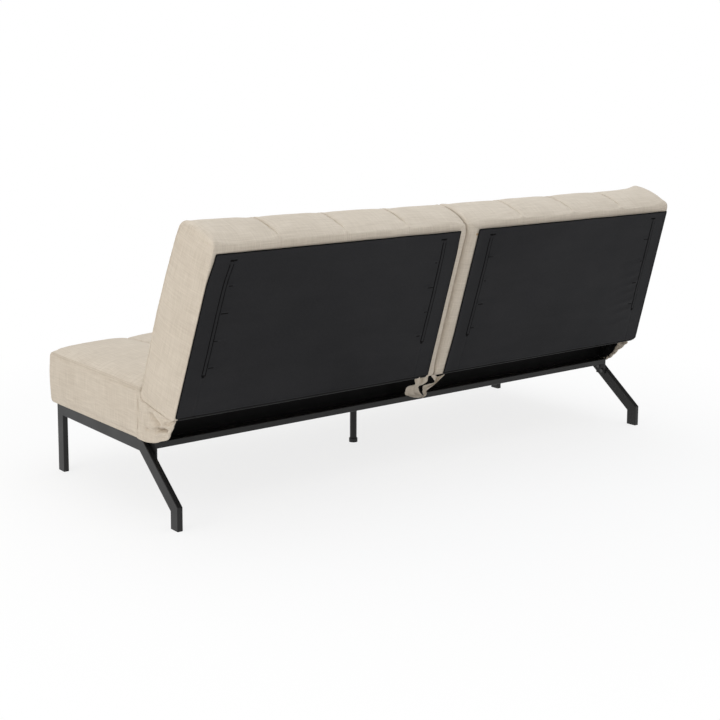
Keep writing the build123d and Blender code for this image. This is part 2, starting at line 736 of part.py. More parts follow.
def build():
    nodes = {}
    left_frame = end_frame()
    nodes["end_frame_left"] = left_frame
    nodes["end_frame_right"] = mirrored(left_frame)
    front_y = seat_front + front_leg_setback + tube_deep / 2
    for name, y in (("front", front_y), ("rear", seat_rear + rear_foot_behind)):
        cap = foot_cap(y)
        nodes[f"foot_cap_{name}_left"] = cap
        nodes[f"foot_cap_{name}_right"] = mirrored(cap)

    rear_y, lead_y = rail_y()
    rear_span = 2 * (tube_inner - flange_thick)
    nodes["rear_rail"] = rail_tube(rear_span, (0, rear_y, rear_rail_top - rail_tall / 2))
    nodes["front_rail"] = rail_tube(2 * tube_inner, (0, lead_y, base_top - rail_tall / 2))
    beam_y0, beam_y1 = lead_y + tube_deep / 2, rear_y - tube_deep / 2
    beam = rail_tube(beam_y1 - beam_y0, (0, 0, 0))
    nodes["centre_beam"] = Pos(0, (beam_y0 + beam_y1) / 2, base_top - rail_tall / 2) * Rot(0, 0, 90) * beam
    plate_solid, flange_bolts = flange()
    nodes["rail_flange_left"] = plate_solid
    nodes["rail_flange_right"] = mirrored(plate_solid)
    tabs = seat_tabs()
    nodes["seat_tabs"] = group(tabs + [mirrored(tab) for tab in tabs])
    frame_bolts = flange_bolts + seat_frame_bolts()
    nodes["frame_bolts"] = group(frame_bolts + [mirrored(b) for b in frame_bolts])

    leg_y = seat_front + centre_leg_behind
    leg_tall = base_top - rail_tall - cap_flange
    nodes["centre_leg"] = Pos(0, leg_y, cap_flange) * Cylinder(centre_leg_dia / 2, leg_tall, align=standing)
    cup = Pos(0, leg_y, 0) * Cylinder(centre_foot_dia / 2, centre_foot_tall, align=standing)
    cup = chamfer(cup.edges().group_by(Axis.Z)[-1], centre_foot_edge)
    well = Pos(0, leg_y, cap_flange) * Cylinder(centre_leg_dia / 2, centre_foot_tall, align=standing)
    nodes["centre_leg_foot"] = cup - well

    nodes.update(seat_boards())
    nodes["seat_webbing"] = seat_webbing()
    nodes["seat_cushion"] = seat_cushion()
    end_face = rail_inner_face + board
    under = block(-end_face, end_face, frame_front, frame_rear, base_top, frame_bottom)
    for cut in seat_frame_bolts():
        under = under - cut - mirrored(cut)
    nodes["seat_dust_cover"] = under
    lining_front = seat_rear + soft_gap
    nodes["seat_rear_lining"] = block(-tube_inner, tube_inner, lining_front, lining_front + cloth,
                                      seat_bottom, arm_low - slot_clear)

    seat_ranges, moving_ranges = hinge_places(), moving_places()
    pins = []
    studs = []
    pawls = []
    for place, seat_range, moving_range in zip(("outer", "inner"), seat_ranges, moving_ranges):
        fixed = seat_plate(seat_range[0])
        nodes[f"hinge_seat_plate_left_{place}"] = fixed
        nodes[f"hinge_seat_plate_right_{place}"] = mirrored(fixed)
        moving = moving_plate(moving_range[0])
        nodes[f"hinge_back_plate_left_{place}"] = moving
        nodes[f"hinge_back_plate_right_{place}"] = mirrored(moving)
        pins.append(hinge_pin(seat_range, moving_range))
        studs.append(pawl_stud(seat_range, moving_range))
        pawls.append(pawl(moving_range[0]))
    nodes["hinge_pins_left"] = group(pins)
    nodes["hinge_pins_right"] = group([mirrored(p) for p in pins])
    nodes["pawl_studs"] = group(studs + [mirrored(s) for s in studs])
    nodes["pawls_left"] = group(pawls)
    nodes["pawls_right"] = group([mirrored(p) for p in pawls])
    plate_bolts = seat_plate_bolts()
    nodes["hinge_seat_bolts"] = group(plate_bolts + [mirrored(b) for b in plate_bolts])

    back_pieces = {
        "back_cushion": back_cushion(),
        "back_frame": back_frame(),
        "back_webbing": back_webbing(),
        "back_dust_cover": rear_cover(),
        "hinge_back_bolts": group(back_bolts()),
        "gusset_end": gusset(seat_half - gusset_end_in),
        "gusset_centre": gusset(gusset_centre_out),
    }
    for name, piece in back_pieces.items():
        nodes[f"{name}_left"] = piece
        nodes[f"{name}_right"] = group([mirrored(piece)])
    return nodes


os.makedirs("parts", exist_ok=True)
for name, shape in build().items():
    export_step(shape, f"parts/{name}.step")
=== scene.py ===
import json
import math

import bmesh
import bpy
import numpy as np
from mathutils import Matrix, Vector, noise
from mathutils.bvhtree import BVHTree


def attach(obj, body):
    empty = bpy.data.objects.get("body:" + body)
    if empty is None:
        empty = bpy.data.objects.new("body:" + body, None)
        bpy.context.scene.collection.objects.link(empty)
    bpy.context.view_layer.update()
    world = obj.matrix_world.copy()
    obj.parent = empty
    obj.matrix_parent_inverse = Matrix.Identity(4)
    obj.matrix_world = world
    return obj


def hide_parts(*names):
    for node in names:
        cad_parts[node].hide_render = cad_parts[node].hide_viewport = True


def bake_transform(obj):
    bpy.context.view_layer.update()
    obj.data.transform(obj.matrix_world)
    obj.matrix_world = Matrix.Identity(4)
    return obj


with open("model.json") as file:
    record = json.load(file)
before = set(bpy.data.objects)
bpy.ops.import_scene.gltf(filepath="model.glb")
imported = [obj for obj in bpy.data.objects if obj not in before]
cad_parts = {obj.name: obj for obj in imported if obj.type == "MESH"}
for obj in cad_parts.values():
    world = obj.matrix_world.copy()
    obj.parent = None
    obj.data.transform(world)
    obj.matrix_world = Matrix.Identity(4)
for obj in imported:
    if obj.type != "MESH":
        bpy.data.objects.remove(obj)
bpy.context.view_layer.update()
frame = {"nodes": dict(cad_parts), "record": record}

# Sofa bed seen from behind: channelled seat, two folding back halves, black steel base.
# Metres, +Z up, the front faces -Y, left is the sitter's left (+X).

scene = bpy.context.scene
nodes = frame["nodes"]

# Back halves are measured from the hinge axis: n runs rearward through the back, u up along it
hinge_y, hinge_z = 0.1968, 0.366
recline = math.radians(17.73)
lean_cos, lean_sin = math.cos(recline), math.sin(recline)

half_gap, inner_press = 0.006, 0.0022
channel_pitch = 0.238
channels = [half_gap / 2 + channel_pitch * (k + 1) for k in range(3)]
half_column = channel_pitch / 2

back_front, back_face = -0.054, 0.124
back_low, back_top, back_rear_top = -0.0315, 0.541, 0.540
back_rear_lift = 0.0145
back_crown, back_top_sag = 0.013, 0.006
back_rolls = (0.016, 0.025, 0.030, 0.024)
back_channel_front, back_channel_top = 0.007, 0.0025
side_low = 0.988
side_lean = math.tan(math.radians(4.05))
side_taper = math.tan(math.radians(3.0))

seat_half = 0.990
seat_rear, seat_depth = 0.1348, 0.603
seat_front = seat_rear - seat_depth
seat_bottom, seat_shoulder = 0.221, 0.412
seat_crown, seat_bulge = 0.010, 0.005
seat_rolls = (0.004, 0.018, 0.038, 0.026)
seat_channel_top, seat_channel_front = 0.008, 0.006
fold_radius = 0.0062
seat_welt_z = 0.385
seat_end_reach, seat_rear_reach = 0.095, 0.0075


# Mesh helpers

def mesh_object(name, points, faces):
    mesh = bpy.data.meshes.new(name)
    mesh.from_pydata([tuple(p) for p in points], [], [tuple(f) for f in faces])
    work = bmesh.new()
    work.from_mesh(mesh)
    bmesh.ops.recalc_face_normals(work, faces=work.faces)
    work.to_mesh(mesh)
    work.free()
    mesh.shade_smooth()
    obj = bpy.data.objects.new(name, mesh)
    scene.collection.objects.link(obj)
    return obj


def coordinates(mesh, kind="co"):
    flat = np.zeros(len(mesh.vertices) * 3)
    mesh.vertices.foreach_get(kind, flat)
    return flat.reshape(-1, 3)


def set_coordinates(mesh, points):
    mesh.vertices.foreach_set("co", np.asarray(points, float).ravel())
    mesh.update()


def apply_modifiers(obj):
    """Keep what the modifiers make of the mesh, and drop them."""
    depsgraph = bpy.context.evaluated_depsgraph_get()
    made = bpy.data.meshes.new_from_object(obj.evaluated_get(depsgraph))
    obj.modifiers.clear()
    old = obj.data
    obj.data = made
    bpy.data.meshes.remove(old)
    obj.data.name = obj.name


def subdivide(obj):
    modifier = obj.modifiers.new("subdivision", "SUBSURF")
    modifier.levels = modifier.render_levels = 1
    apply_modifiers(obj)


def back_point(n, u):
    """Y and Z of a point of a back half."""
    return hinge_y + n * lean_cos + u * lean_sin, hinge_z - n * lean_sin + u * lean_cos


def back_axes(y, z):
    """Parts of a way in Y and Z that run rearward through a back half and up along it."""
    return y * lean_cos - z * lean_sin, y * lean_sin + z * lean_cos


def side_x(n, u):
    """X of a back half's outer side."""
    return side_low - (u - back_low) * side_lean - n * side_taper


def smooth(low, high, value):
    share = np.clip((value - low) / (high - low), 0.0, 1.0)
    return share * share * (3 - 2 * share)


def joined(*parts):
    """Rows of coordinates; a single number stands for all rows."""
    return np.stack(np.broadcast_arrays(*parts), axis=1)


def walked(where, along, points):
    """Points at the ways where, on a polyline whose points lie at the ways along."""
    return np.stack([np.interp(where, along, column) for column in points.T], axis=1)


def bowed(start, end, sag, count=40):
    """Points on an arc from start to end that stands out to the left by sag."""
    start, end = np.array(start, float), np.array(end, float)
    share = np.linspace(0, 1, count + 1)[:, None]
    chord = end - start
    out = np.array([-chord[1], chord[0]]) / np.linalg.norm(chord)
    return start + chord * share + out * sag * 4 * share * (1 - share)


def rounded(start, corner, end, count=16):
    """Points on a round corner."""
    start, corner, end = (np.array(p, float) for p in (start, corner, end))
    angle = np.linspace(0, math.pi / 2, count + 1)[:, None]
    return corner + (start - corner) * (1 - np.sin(angle)) + (end - corner) * (1 - np.cos(angle))


def resample(points, count, bend=0.05):
    """count + 1 points along a polyline, closer together where it bends."""
    steps = np.diff(points, axis=0)
    length = np.linalg.norm(steps, axis=1)
    heading = np.unwrap(np.arctan2(steps[:, 1], steps[:, 0]))
    turn = np.abs(np.gradient(heading))
    along = np.concatenate([[0.0], np.cumsum(length + bend * turn)])
    where = np.linspace(0.0, along[-1], count + 1)
    return walked(where, along, points)


def outline(corners, radii, sags, counts):
    """Closed outline of four sides, bottom, front, top and rear, from the lower rear corner on.

    Returns its points and its outward directions.
    """
    corners = [np.array(c, float) for c in corners]
    rolls, sides = [], []
    for k in range(4):
        before, here, after = corners[k - 1], corners[k], corners[(k + 1) % 4]
        start = here + (before - here) / np.linalg.norm(before - here) * radii[k]
        end = here + (after - here) / np.linalg.norm(after - here) * radii[k]
        rolls.append(rounded(start, here, end))
    for k in range(4):
        first, last = rolls[k], rolls[(k + 1) % 4]
        middle = len(first) // 2
        line = bowed(first[-1], last[0], sags[k])
        sides.append(np.concatenate([first[middle:-1], line[:-1], last[:middle + 1]]))
    points = np.concatenate([resample(side, counts[k % 2])[:-1] for k, side in enumerate(sides)])
    ahead, behind = np.roll(points, -1, axis=0), np.roll(points, 1, axis=0)
    tangent = ahead - behind
    out = joined(-tangent[:, 1], tangent[:, 0])
    out /= np.linalg.norm(out, axis=1)[:, None]
    return points, out


def skin(name, rings, counts, bulge):
    """Closed quad skin: rings of points joined up, with a grid across each end."""
    rings = np.asarray(rings)
    total, size = rings.shape[:2]
    across, up = counts
    points = list(rings.reshape(-1, 3))
    faces = []
    for s in range(total - 1):
        for k in range(size):
            j = (k + 1) % size
            faces.append((s * size + k, s * size + j, (s + 1) * size + j, (s + 1) * size + k))
    for end, s in ((0, 0), (1, total - 1)):
        loop = rings[s]
        low = loop[0:across + 1]
        front = loop[across:across + up + 1]
        high = loop[across + up:2 * across + up + 1][::-1]
        rear = np.concatenate([loop[2 * across + up:], loop[:1]])[::-1]
        index = np.zeros((across + 1, up + 1), int)
        for i in range(across + 1):
            for j in range(up + 1):
                if j == 0:
                    index[i, j] = s * size + i
                elif i == across:
                    index[i, j] = s * size + across + j
                elif j == up:
                    index[i, j] = s * size + 2 * across + up - i
                elif i == 0:
                    index[i, j] = s * size + (size - j) % size
                else:
                    w, v = i / across, j / up
                    place = ((1 - v) * low[i] + v * high[i] + (1 - w) * rear[j] + w * front[j]
                             - (1 - w) * (1 - v) * low[0] - w * (1 - v) * low[across]
                             - (1 - w) * v * high[0] - w * v * high[across])
                    swell = (16 * w * (1 - w) * v * (1 - v)) ** 0.6
                    place = place + np.array([(1 if end else -1) * bulge[end] * swell, 0, 0])
                    index[i, j] = len(points)
                    points.append(place)
        for i in range(across):
            for j in range(up):
                faces.append((index[i, j], index[i + 1, j], index[i + 1, j + 1], index[i, j + 1]))
    return mesh_object(name, points, faces)


def puff(distance):
    """How far a column has risen at a distance from its sewn channel, 0 to 1."""
    share = np.clip(distance / half_column, 0, 1)
    return (1 - (1 - share) ** 2) ** 0.6


def turned(distance, radius):
    """How far a rounded edge or fold has turned in at a distance from its line."""
    left = np.clip(radius - distance, 0, radius)
    return radius - np.sqrt(np.maximum(radius ** 2 - left ** 2, 0))


def edge_arc(distance, radius):
    """Way along the surface from an edge that is rounded by radius."""
    return radius * np.arccos(1 - np.clip(distance / radius, 0, 1)) + np.maximum(distance - radius, 0)


def bump(value, width):
    return np.exp(-(value / width) ** 2)


channel_steps = np.array([0.0, 0.0008, 0.0020, 0.0040, 0.0075, 0.013, 0.022, 0.038, 0.062, 0.0905])
edge_steps = np.array([0.0005, 0.0012, 0.0026, 0.0042, 0.008, 0.014, 0.022, 0.034, 0.055])
face_steps = np.array([0.0012, 0.0028, 0.0050, 0.0090])


def stations(low, high, lines, edge):
    """Places along x, close together at the sewn lines and the end edges."""
    places = {low, high}
    for step in edge_steps * edge / 0.022:
        places.update((low + step, high - step))
    for line in lines:
        for step in channel_steps:
            places.update((line - step, line + step))
    for a, b in zip(sorted(lines)[:-1], sorted(lines)[1:]):
        places.add((a + b) / 2)
    inside = sorted(p for p in places if low - 1e-9 <= p <= high + 1e-9)
    kept = [inside[0]]
    for p in inside[1:]:
        if p - kept[-1] > 0.0003:
            kept.append(p)
    return np.array(kept)


# Cushions

def swell(obj, pinned, pressure, cap):
    """Blow the skin up between its pinned seams, as far as cap, and keep the result."""
    before = coordinates(obj.data)
    group = obj.vertex_groups.new(name="pinned")
    for level in np.unique(pinned):
        if level > 0:
            group.add([int(i) for i in np.nonzero(pinned == level)[0]], float(level), "REPLACE")
    modifier = obj.modifiers.new("cloth", "CLOTH")
    settings = modifier.settings
    settings.vertex_group_mass = "pinned"
    settings.quality = 5
    settings.mass = 0.3
    settings.tension_stiffness = settings.compression_stiffness = 12
    settings.shear_stiffness = 4
    settings.bending_stiffness = 0.4
    settings.use_pressure = True
    settings.uniform_pressure_force = pressure
    settings.shrink_min = -0.012
    settings.effector_weights.gravity = 0
    modifier.collision_settings.use_collision = False
    modifier.point_cache.frame_start, modifier.point_cache.frame_end = 1, 20
    for step in range(1, 21):
        scene.frame_set(step)
    depsgraph = bpy.context.evaluated_depsgraph_get()
    after = coordinates(obj.evaluated_get(depsgraph).data)
    obj.modifiers.clear()
    obj.vertex_groups.clear()
    scene.frame_set(1)
    move = after - before
    far = np.linalg.norm(move, axis=1)[:, None]
    set_coordinates(obj.data, before + move * (cap * np.tanh(far / cap) / np.maximum(far, 1e-9)))


def rough(points, size, seed):
    """Smooth noise, about -1 to 1, at points; size is the width of its bumps."""
    scaled = np.asarray(points) / size + seed
    return np.array([noise.noise(Vector(p)) for p in scaled]) * 1.6


def mark(obj, name, values, rest):
    """Keep a value on each point of the rings, and rest on the points after them."""
    full = np.full(len(obj.data.vertices), rest, float)
    values = np.concatenate(values)
    full[:len(values)] = values
    obj.data.attributes.new(name, "FLOAT", "POINT").data.foreach_set("value", full)


def take_mark(obj, name):
    values = np.zeros(len(obj.data.vertices))
    layer = obj.data.attributes[name]
    layer.data.foreach_get("value", values)
    obj.data.attributes.remove(layer)
    return values


def sewn_skin(name, rings, counts, bulge, pins, cap, marks):
    """Skin that is swollen between its pinned points and made finer, and its points' marks."""
    made = skin(name, rings, counts, bulge)
    held = np.concatenate(pins)
    pinned = np.zeros(len(made.data.vertices))
    pinned[:len(held)] = held
    swell(made, pinned, 4.0, cap)
    for key, (values, rest) in marks.items():
        mark(made, key, values, rest)
    subdivide(made)
    return made, *(take_mark(made, key) for key in marks)


def make_seat():
    """Seat cover, and the rows where its two end welts are stitched."""
    counts = (46, 18)
    corners = ((seat_rear, seat_bottom), (seat_front, seat_bottom),
               (seat_front, seat_shoulder), (seat_rear, seat_shoulder))
    loop, out = outline(corners, seat_rolls, (0, seat_bulge, seat_crown, 0), counts)
    end_corners = ((seat_rear, seat_bottom + 0.006), (seat_front, seat_bottom),
                   (seat_front, seat_welt_z + 0.004), (seat_rear + seat_rear_reach, seat_welt_z))
    end_loop, end_out = outline(end_corners, (0.004, 0.018, 0.022, 0.006), (0, seat_bulge, 0.001, 0), counts)
    y0, z0 = loop.T
    top = smooth(seat_shoulder - 0.05, seat_shoulder - 0.005, z0)
    front = smooth(-0.2, -0.9, out[:, 0]) * (1 - top)
    rear_fade = smooth(seat_rear - 0.004, seat_rear - 0.05, y0)
    amount = np.maximum(seat_channel_top * top * np.maximum(rear_fade, 0.35),
                        seat_channel_front * front * smooth(seat_bottom + 0.01, seat_bottom + 0.06, z0))
    radius = (0.007 * (1 - top) + 0.003 * top) * (1 - 0.7 * smooth(0.3, 0.9, out[:, 0]))
    rings, pins, edges, names = [], [], [], []

    def ring(x, inset, edge, held, number):
        share = np.clip(1 - (seat_half - abs(x)) / seat_end_reach, 0, 1) ** 2
        y, z = (loop + (end_loop - loop) * share - (out + (end_out - out) * share) * inset[:, None]).T
        rings.append(joined(x, y, z))
        pins.append(np.where(held, 1.0, 0.0))
        edges.append(edge)
        names.append(np.full_like(y, number))

    everywhere = np.ones(len(loop), bool)
    for k, step in reversed(list(enumerate(face_steps))):
        ring(-seat_half, radius + step, np.full(len(loop), -step), everywhere, -1 - k)
    for k, x in enumerate(stations(-seat_half, seat_half, seat_lines, 0.016)):
        to_end = seat_half - abs(x)
        to_line = min(abs(x - line) for line in seat_lines)
        inset = amount * (1 - puff(to_line)) * (1 - 0.4 * smooth(0.06, 0.0, to_end)) + turned(to_end, radius)
        held = (out[:, 1] < -0.5) | (out[:, 0] > 0.8) | (to_line < 0.001) | (to_end < 0.012)
        ring(x, inset, edge_arc(to_end, radius), held, 100 + k)
    for k, step in enumerate(face_steps):
        ring(seat_half, radius + step, np.full(len(loop), -step), everywhere, -1 - k)
    marks = {"edge": (edges, -0.04), "ring": (names, -50)}
    seat, edge, number = sewn_skin("seat_cover", rings, counts, (-0.001, -0.001), pins, 0.007, marks)
    points, facing = coordinates(seat.data), coordinates(seat.data, "normal")
    x, y, z = points.T
    distance = np.min([np.abs(x - line) for line in seat_lines], axis=0)
    soft = np.clip(np.maximum(facing[:, 2], -facing[:, 1]), 0, 1)
    along = joined(np.round(x / channel_pitch) * 5.1, (y - z) / 0.021, np.sign(x) * 2.0)
    lift = 0.0013 * rough(along, 1.0, 3.7) * np.exp(-distance / 0.020)
    lift += 0.0010 * rough(points, 0.11, 1.3)
    lift += 0.0010 * rough(points * (0.4, 1, 1), 0.030, 8.1) * np.exp(-(seat_half - np.abs(x)) / 0.03)
    lift -= turned(distance, fold_radius * smooth(seat_rear - 0.002, seat_rear - 0.03, y)
                   * smooth(seat_bottom + 0.004, seat_bottom + 0.03, z))
    welt = (smooth(seat_welt_z - 0.030, seat_welt_z - 0.012, z)
            * smooth(seat_front + 0.002, seat_front + 0.02, y))
    grooves = turned(np.abs(edge - 0.0024), 0.0013) + turned(np.abs(edge + 0.0026), 0.0015)
    seam = 0.0006 * bump(edge, 0.0018) - 0.5 * grooves
    face = np.clip(np.abs(facing[:, 0]) * 2 - 1, 0, 1) * smooth(-0.002, -0.02, edge)
    crumple = 0.0016 * rough(points, 0.09, 5.2) + 0.0008 * rough(points * (1, 1, 0.5), 0.024, 2.2)
    points = points + facing * (lift * soft + welt * seam + face * crumple)[:, None]
    set_coordinates(seat.data, points)
    rows = []
    last = number[number < 1000].max()
    for side in (1, -1):
        for ring_number in (-2.0, last - 2 if side > 0 else 102.0):
            here = (np.abs(number - ring_number) < 1e-3) & (welt > 0.6) & (x * side > 0.9)
            order = np.argsort(y[here])
            rows.append((points[here][order], facing[here][order]))
    return seat, rows


def make_back(name, sign, seed):
    """One back half; sign is 1 for the left one."""
    counts = (18, 46)
    corners = ((back_face + 0.0006, back_low + back_rear_lift), (back_front, back_low),
               (back_front, back_top), (back_face + 0.0006, back_rear_top))
    loop, out = outline(corners, back_rolls, (0, back_crown, back_top_sag, 0), counts)
    n, u = loop.T
    top = smooth(back_top - 0.06, back_top - 0.012, u)
    front = smooth(-0.2, -0.9, out[:, 0])
    strip = smooth(0.05, 0.12, n) * smooth(0.540, 0.450, u) * smooth(0.0, 0.04, u)
    corner = bump(np.hypot(n - 0.118, u - 0.545), 0.026)
    amount = np.maximum(back_channel_front * front * smooth(back_low + 0.005, back_low + 0.05, u) * (1 - top),
                        back_channel_top * top * smooth(0.112, 0.060, n))
    inner = half_gap / 2
    radius_out = (0.004 + 0.010 * top * smooth(0.13, 0.09, n)
                  + 0.005 * front * (1 - top) * smooth(0.0, 0.12, u))
    radius_in = 0.006 + 0.003 * top + 0.006 * front * (1 - top) + (0.010 if sign > 0 else 0.020) * strip
    nominal = side_x(0.0, 0.3)
    rings, pins, edges = [], [], []

    def lower(x):
        return 0.011 * (1 - x / 0.95) if sign > 0 else 0.010 * smooth(0.95, 0.85, x)

    def sunk(x, to_in):
        near_end = 0.003 * np.exp(-to_in / 0.03) * smooth(0.0, 0.08, n)
        return top * (near_end + lower(x)) + 0.011 * corner * np.exp(-to_in / 0.022)

    def ring(x, inset, edge, held):
        y, z = back_point(n - out[:, 0] * inset, u - out[:, 1] * inset)
        rings.append(joined(sign * x, y, z))
        pins.append(np.where(held, 1.0, 0.0))
        edges.append(edge)

    everywhere = np.ones(len(loop), bool)
    for step in face_steps[::-1]:
        ring(np.full_like(n, inner), radius_in + step + sunk(inner, 0.0), np.full_like(n, -step), everywhere)
    for x in stations(inner, nominal, channels, 0.022):
        share = np.clip((x - channels[-1]) / (nominal - channels[-1]), 0, 1)
        real = np.where(x > channels[-1], channels[-1] + (side_x(n, u) - channels[-1]) * share, x)
        to_out, to_in = side_x(n, u) - real, real - inner
        to_line = np.min([np.abs(real - line) for line in channels], axis=0)
        inset = amount * (1 - puff(to_line)) + turned(to_out, radius_out) + turned(to_in, radius_in)
        inset = inset + sunk(real, to_in)
        edge = np.minimum(edge_arc(to_out, radius_out), edge_arc(to_in, radius_in))
        at_end = np.minimum(to_in, to_out) < 0.010
        held = (out[:, 1] < -0.5) | (out[:, 0] > 0.8) | (to_line < 0.001) | at_end
        ring(real, inset, edge, held)
    for step in face_steps:
        ring(side_x(n, u), radius_out + step + lower(side_x(n, u)) * top, np.full_like(n, -step), everywhere)
    if sign < 0:
        rings, pins, edges = rings[::-1], pins[::-1], edges[::-1]
    bulge = (0.001, 0.003) if sign > 0 else (0.003, 0.001)
    back, edge = sewn_skin(name, rings, counts, bulge, pins, 0.006, {"edge": (edges, -0.04)})
    points, facing = coordinates(back.data), coordinates(back.data, "normal")
    x, y, z = points.T
    n, u = back_axes(y - hinge_y, z - hinge_z)
    rearward, upward = back_axes(facing[:, 1], facing[:, 2])
    distance = np.min([np.abs(np.abs(x) - line) for line in channels], axis=0)
    soft = np.clip(np.maximum(upward, -rearward), 0, 1)
    along = joined(np.round(np.abs(x) / channel_pitch) * 5.1, (u - n) / 0.021, seed)
    lift = 0.0010 * rough(along, 1.0, seed) * np.exp(-distance / 0.016)
    lift += 0.0010 * rough(points, 0.11, seed + 1)
    to_side = side_x(n, u) - np.abs(x)
    seamed = smooth(0.118, 0.100, n) * smooth(-0.02, 0.02, u)
    lift = lift * soft
    rear_fold = (0.0012 + (fold_radius - 0.0012) * smooth(0.105, 0.075, n)) * smooth(0.498, 0.508, u)
    front_fold = fold_radius * smooth(back_low, back_low + 0.03, u)
    lift -= turned(distance, np.where(n > 0.06, rear_fold, front_fold))
    fore = smooth(0.02, -0.02, n) * smooth(0.535, 0.500, u)
    lift -= seamed * (0.3 + 1.3 * fore) * turned(np.abs(edge), 0.0020 + 0.0010 * fore)
    lift += 0.0007 * seamed * rough(points, 0.011, seed + 5) * np.exp(-np.abs(edge) / 0.012)
    corner = np.hypot(to_side, np.hypot(n - 0.118, u - 0.515))
    puckers = 0.0026 * rough(points, 0.016, seed + 7) * np.exp(-corner / 0.026)
    lift += puckers * smooth(0.8, 0.3, rearward)
    face = np.clip(np.abs(facing[:, 0]) * 2 - 1, 0, 1) * smooth(-0.002, -0.02, edge)
    lift += face * (0.0013 * rough(points, 0.10, seed + 2)
                    + 0.0007 * rough(points * (1, 1, 0.5), 0.028, seed + 3))
    settled = points + facing * lift[:, None]
    # Neither half's inner end comes past the centre plane
    reach = inner - sign * settled[:, 0]
    flattened = sign * (inner - inner_press * np.tanh(reach / inner_press))
    settled[:, 0] = np.where(reach > 0, flattened, settled[:, 0])
    set_coordinates(back.data, settled)
    cut_pockets(back, sign)
    return back


def cut_pockets(back, sign):
    """Slits at the lower front corners, where the seat's hinge plates reach in."""
    points, faces = [], []
    for low, high in ((0.0204, 0.0401), (0.9154, 0.9351)):
        base = len(points)
        for x in (low, high):
            for n, u in ((-0.098, -0.085), (0.0406, -0.085), (0.0406, 0.0216), (-0.098, 0.0216)):
                points.append((sign * x, *back_point(n, u)))
        for face in ((0, 1, 2, 3), (4, 5, 6, 7), (0, 1, 5, 4), (1, 2, 6, 5), (2, 3, 7, 6), (3, 0, 4, 7)):
            faces.append([base + i for i in face])
    cutter = mesh_object("pocket_cutter", points, faces)
    modifier = back.modifiers.new("pockets", "BOOLEAN")
    modifier.operation = "DIFFERENCE"
    modifier.solver = "EXACT"
    modifier.object = cutter
    apply_modifiers(back)
    bpy.data.objects.remove(cutter)
    back.data.shade_smooth()


def stitches(name, rows, pitch=0.0062, long=0.0040, thick=0.0006):
    """Sewing thread: short rounded dashes along rows of points with their normals."""
    points, faces = [], []
    for row, normals in rows:
        along = np.concatenate([[0.0], np.cumsum(np.linalg.norm(np.diff(row, axis=0), axis=1))])
        for start in np.arange(0.002, along[-1] - long, pitch):
            where = start + long * np.array([0.0, 0.15, 0.5, 0.85, 1.0])
            spine = walked(where, along, row)
            up = walked(where, along, normals)
            up /= np.linalg.norm(up, axis=1)[:, None]
            ahead = spine[-1] - spine[0]
            side = np.cross(up, ahead / np.linalg.norm(ahead))
            spine = spine + up * (thick * np.array([-0.2, 0.5, 0.8, 0.5, -0.2]))[:, None]
            base = len(points)
            for k, size in enumerate((0.25, 0.8, 1.0, 0.8, 0.25)):
                for a in range(6):
                    angle = a * math.pi / 3
                    ray = math.cos(angle) * side[k] + math.sin(angle) * up[k]
                    points.append(spine[k] + thick * size * ray)
            for k in range(4):
                for a in range(6):
                    b = (a + 1) % 6
                    low, high = base + 6 * k, base + 6 * k + 6
                    faces.append((low + a, low + b, high + b, high + a))
            faces.append([base + a for a in range(6)])
            faces.append([base + 24 + a for a in range(6)])
    return mesh_object(name, points, faces)


def mitre_row(back, sign):
    """Points on a back half's skin, from its dust cover's inner top corner up to its inner end."""
    tree = BVHTree.FromPolygons([v.co for v in back.data.vertices], [p.vertices for p in back.data.polygons])
    row, normals = [], []
    for share in np.linspace(0, 1, 12):
        x = 0.038 - 0.030 * share
        place = Vector((sign * x, *back_point(0.128, 0.5085 + 0.024 * share)))
        hit, normal = tree.find_nearest(place)[:2]
        row.append(hit)
        normals.append(normal)
    return np.array(row), np.array(normals)


seat_lines = [0.0] + [sign * c for c in channels for sign in (1, -1)]
seat, welt_rows = make_seat()
backs = {"left": make_back("back_cover_left", 1, 11.0), "right": make_back("back_cover_right", -1, 23.0)}
welt_thread = stitches("seat_welt_thread", welt_rows)
mitre_threads = {}
for key, sign in (("left", 1), ("right", -1)):
    mitre = mitre_row(backs[key], sign)
    mitre_threads[key] = stitches(f"back_mitre_thread_{key}", [mitre], 0.0048, 0.0032, 0.0005)


# Sheets: dust covers, lining and loose gussets

def grid_object(name, points):
    """Sheet from an array of rows of points."""
    rows, columns = points.shape[:2]
    faces = []
    for j in range(rows - 1):
        for i in range(columns - 1):
            a = j * columns + i
            faces.append((a, a + 1, a + columns + 1, a + columns))
    return mesh_object(name, points.reshape(-1, 3), faces)


def cell_middle(values):
    """Mean of the four corners of each cell of a grid."""
    return (values[:-1, :-1] + values[1:, :-1] + values[:-1, 1:] + values[1:, 1:]) / 4


def spread(values, limit):
    """Sorted places with extra ones wherever two are further apart than limit."""
    values = sorted(values)
    places = [values[0]]
    for value in values[1:]:
        steps = max(1, int(math.ceil((value - places[-1]) / limit)))
        start = places[-1]
        places.extend(start + (value - start) * (k + 1) / steps for k in range(steps))
    return np.array(places)


tuck_inset, tuck_pair = 0.062, 0.0052
tuck_low, tuck_top = 0.124, 0.482
wrinkle_rows = (0.150, 0.235, 0.320, 0.405)
fan_rows = ((0.315, 0.0012), (0.272, 0.0020), (0.236, 0.0026), (0.203, 0.0024),
            (0.168, 0.0026), (0.132, 0.0020), (0.090, 0.0014))
turned_under = [(0.085, -0.0217), (0.100, -0.0204)]
turned_under += [(0.1086 + 0.0172 * math.cos(a), -0.0010 - 0.0186 * math.sin(a))
                 for a in np.radians((82, 70, 58, 46, 34))]


